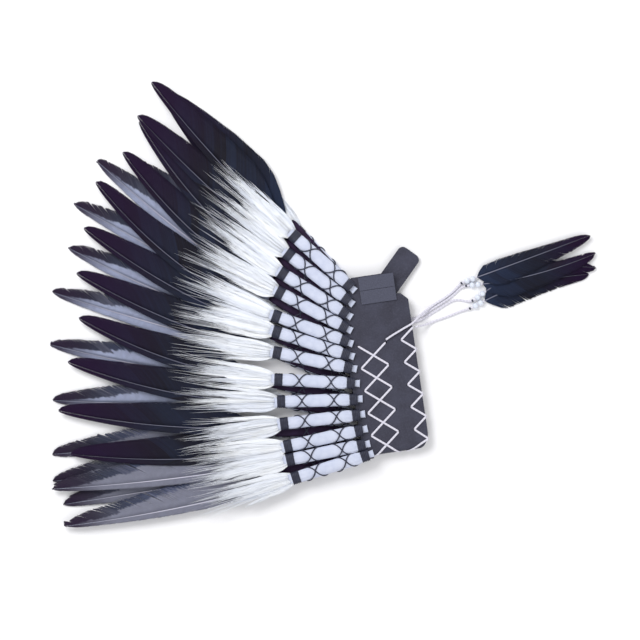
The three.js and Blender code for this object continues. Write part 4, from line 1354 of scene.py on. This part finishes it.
def make_drop(context, sizes, number, points):
    """Makes one drop: its lace, two beads, a knot and a small feather with its quill."""
    chance = chance_for("drop" + number)
    diameter = sizes.lace_diameter / MM
    route = smooth_route(points)
    steps = distances(route)
    first, second, end = points[-3:]
    direction = unit(second - first)
    form = Form()
    places = np.repeat(np.stack([steps, 0 * steps, 0 * steps], -1), DROP_SIDES, axis=0)
    sweep(form, route, diameter / 2, diameter / 2, DROP_SIDES, places=places)
    lace = piece("drop_cord_" + number, form, material_of(context, "lace"),
                 ["drop_lace_" + number])
    form = Form()
    for way in (-0.5, 0.5):
        bead(form, (first + second) / 2 + direction * BEAD_SPACING * way, direction)
    beads = piece("drop_beads_" + number, form, material_of(context, "bead"),
                  ["bead_pair_" + number])
    form = Form()
    knot(form, route)
    knots = piece("drop_knot_" + number, form, material_of(context, "thread"))
    share, bend, tip_height = DROP_FEATHERS[number]
    length = sizes.drop_feather_length / MM * share
    line = Line(DROP_FEATHER, 0, length, 0, bend, (end[2], tip_height), 0, DROP_PILE_START)
    root = end + ROOT_GAP * direction
    place = turned(math.atan2(direction[1], direction[0]), "Z", (root[0], root[1], 0))
    form = Form()
    for side in ("narrow", "wide"):
        spacing = DROP_BARBS * sizes.barb_spacing / MM
        vane(form, line, side, spacing, DROP_VANE, chance, DROP_FIRST_BARB)
    piece("drop_vane_" + number, form.moved(place), material_of(context, "dyed"),
          ["drop_feather_" + number])
    form = Form()
    shaft(form, line, DROP_SHAFT_RISE)
    piece("drop_quill_" + number, form.moved(place), material_of(context, "dark horn"),
          ["drop_feather_" + number])


class HEADDRESS_OT_drops(bpy.types.Operator):
    """Makes the four drops: lace, two beads, dark knots and a small feather"""
    bl_idname = "headdress.drops"
    bl_label = "Drops"

    def execute(self, context):
        sizes = context.scene.headdress_sizes
        for number, points in DROP_ROUTES.items():
            make_drop(context, sizes, number, np.array(points, float) + SHIFT)
        return {"FINISHED"}


class HEADDRESS_OT_feathers(bpy.types.Operator):
    """Makes the vanes and shafts of the quill feathers of both halves"""
    bl_idname = "headdress.feathers"
    bl_label = "Quill feathers"

    def execute(self, context):
        sizes = context.scene.headdress_sizes
        for side, half, number, row in dressed_feathers():
            node = f"{half}_feather_{number:02d}"
            chance = chance_for(node)
            matrix, _ = dressed_frame(row, side)
            line = quill_line(row, side, sizes)
            underside = side < 0 or number >= FIRST_TURNED
            # The first far feathers, hidden but for their edges, get the dark upper-side vane as
            # painted shade, though their underside is up
            dark = not underside or (side < 0 and number < FIRST_UNSHADED_FAR)
            kind = "dyed" if dark else "brownish" if number >= FIRST_BROWNISH else "pale"
            ragged = SLEEK_VANE if dark else WORN_VANE
            form = Form()
            for name, first in FIRST_BARB.items():
                vane(form, line, name, sizes.barb_spacing / MM, ragged, chance, first)
            piece(node + "_vane", form.moved(matrix), material_of(context, kind), [node])
            form = Form()
            shaft(form, line, SHAFT_RISE, CLEAR_SHAFT["underside" if underside else "upper side"])
            horn = "pale horn" if underside else "dark horn"
            piece(node + "_shaft", form.moved(matrix), material_of(context, horn), [node])
        return {"FINISHED"}


class HEADDRESS_OT_plumes(bpy.types.Operator):
    """Makes the white plumes over the roots of the feathers"""
    bl_idname = "headdress.plumes"
    bl_label = "White plumes"

    def execute(self, context):
        sizes = context.scene.headdress_sizes
        length, width = CORE_LENGTH * sizes.plume_length / MM, sizes.plume_width / MM
        for side, half, number, row in dressed_feathers():
            plume = PLUMES[half]
            node = f"{SLEEVE_NODES[half]}{number:02d}"
            count = sizes.near_strands if side > 0 else sizes.far_strands
            matrix, _ = dressed_frame(row, side)
            turn = -math.radians(row.plume_turn)
            form = Form()
            plume_core(form, turn, length, plume["core"] * width, plume["thickness"],
                       plume["level"] - plume["under"])
            strands(form, turn, count, sizes, plume["level"], plume["depth"], chance_for(node))
            piece(f"{half}_plume_{number:02d}", form.moved(matrix), material_of(context, "plume"),
                  [node])
        return {"FINISHED"}


class HEADDRESS_OT_sleeves(bpy.types.Operator):
    """Makes the white sleeves with their bindings, crossed threads and backing strips"""
    bl_idname = "headdress.sleeves"
    bl_label = "Sleeves"

    def execute(self, context):
        for side, half, number, row in dressed_feathers():
            nodes = [f"{SLEEVE_NODES[half]}{number:02d}"]
            chance = chance_for(f"{half}_cloth_{number:02d}")
            matrix, face = dressed_frame(row, side)
            profile = sleeve_profile(face, side)
            form = Form()
            cloth_tube(form, profile, chance)
            cloth_stub(form, face, side, chance)
            piece(f"{half}_cloth_{number:02d}", form.moved(matrix), material_of(context, "cloth"),
                  nodes)
            form = Form()
            binding(form, profile, 0)
            binding(form, profile, SLEEVE_LENGTH)
            crossed_threads(form, profile, chance.uniform(-CROSS_STRAY, CROSS_STRAY))
            piece(f"{half}_binding_{number:02d}", form.moved(matrix), material_of(context, "thread"),
                  nodes)
            form = Form()
            backing(form, profile, side)
            piece(f"{half}_backing_{number:02d}", form.moved(matrix),
                  material_of(context, "backing"), nodes)
        return {"FINISHED"}


class HEADDRESS_OT_lacing(bpy.types.Operator):
    """Makes the diamond lacing and the lacing of the lower edge"""
    bl_idname = "headdress.lacing"
    bl_label = "Lacing"

    def execute(self, context):
        form = Form()
        for phase in (0, 1):
            corners = diamond_corners(phase)
            for i, (start, end) in enumerate(zip(corners, corners[1:])):
                lace_run(form, start, end, LACE_CROSSING if (i + phase) % 2 else 0)
        piece("diamond_lacing_strands", form, material_of(context, "lace"),
              ["diamond_lacing"])
        form = Form()
        corners = edge_corners()
        for start, end in zip(corners, corners[1:]):
            lace_run(form, start, end)
        piece("edge_lacing_strands", form, material_of(context, "lace"),
              ["edge_lacing"])
        return {"FINISHED"}


class HEADDRESS_OT_band(bpy.types.Operator):
    """Finishes the leather band, its closing tab and the two strips of loop tape"""
    bl_idname = "headdress.band"
    bl_label = "Band and closure"

    def execute(self, context):
        for node, (kind, edge) in KEPT_MESHES.items():
            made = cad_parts[node]
            made.data.materials.clear()
            made.data.materials.append(material_of(context, kind))
            rounding = made.modifiers.new("rounded edges", "BEVEL")
            rounding.width = edge * MM
            rounding.segments = 2
            rounding.limit_method = "ANGLE"
            rounding.angle_limit = SHARP_EDGE
        return {"FINISHED"}


class HEADDRESS_OT_stage(bpy.types.Operator):
    """Makes the pale floor and the soft studio light"""
    bl_idname = "headdress.stage"
    bl_label = "Stage"

    def execute(self, context):
        signs = ((-1, -1), (1, -1), (1, 1), (-1, 1))
        corners = [(x * FLOOR_HALF, y * FLOOR_HALF, 0) for x, y in signs]
        mesh = bpy.data.meshes.new("floor")
        mesh.from_pydata(corners, [], [(0, 1, 2, 3)])
        mesh.materials.append(material_of(context, "floor"))
        floor = bpy.data.objects.new("floor", mesh)
        floor.location.z = -FLOOR_DROP * MM
        context.scene.collection.objects.link(floor)
        world = bpy.data.worlds.new("studio")
        world.use_nodes = True
        background = world.node_tree.nodes["Background"]
        background.inputs["Color"].default_value = (1, 1, 1, 1)
        background.inputs["Strength"].default_value = SKY_STRENGTH
        context.scene.world = world
        for name, (place, size, power) in LAMPS.items():
            data = bpy.data.lights.new(name, "AREA")
            data.size, data.energy = size, power
            lamp = bpy.data.objects.new(name, data)
            lamp.location = place
            lamp.rotation_euler = (-Vector(place)).to_track_quat("-Z", "Y").to_euler()
            context.scene.collection.objects.link(lamp)
        context.scene.view_settings.view_transform = "Standard"
        return {"FINISHED"}


OPERATORS = [HEADDRESS_OT_camera, HEADDRESS_OT_drops, HEADDRESS_OT_feathers, HEADDRESS_OT_plumes,
             HEADDRESS_OT_sleeves, HEADDRESS_OT_lacing, HEADDRESS_OT_band, HEADDRESS_OT_stage]


class HEADDRESS_PT_panel(bpy.types.Panel):
    """Lists the pieces of the headdress with their sizes and colours"""
    bl_idname = "HEADDRESS_PT_panel"
    bl_label = "Headdress"
    bl_space_type = "VIEW_3D"
    bl_region_type = "UI"
    bl_category = "Headdress"

    def draw(self, context):
        column = self.layout.column()
        for operator in OPERATORS:
            column.operator(operator.bl_idname)
        for settings in (context.scene.headdress_sizes, context.scene.headdress_colours):
            for name in settings.__annotations__:
                column.prop(settings, name)


CLASSES = [HeaddressSizes, HeaddressColours, *OPERATORS, HEADDRESS_PT_panel]


def register():
    """Registers the classes and their settings."""
    for kind in CLASSES:
        bpy.utils.register_class(kind)
    bpy.types.Scene.headdress_sizes = PointerProperty(type=HeaddressSizes)
    bpy.types.Scene.headdress_colours = PointerProperty(type=HeaddressColours)


def unregister():
    """Takes the classes and their settings away again."""
    del bpy.types.Scene.headdress_colours
    del bpy.types.Scene.headdress_sizes
    for kind in reversed(CLASSES):
        bpy.utils.unregister_class(kind)


def main():
    """Makes the whole headdress and its stage."""
    register()
    for operator in OPERATORS:
        family, name = operator.bl_idname.split(".")
        getattr(getattr(bpy.ops, family), name)()


if __name__ == "__main__":
    main()
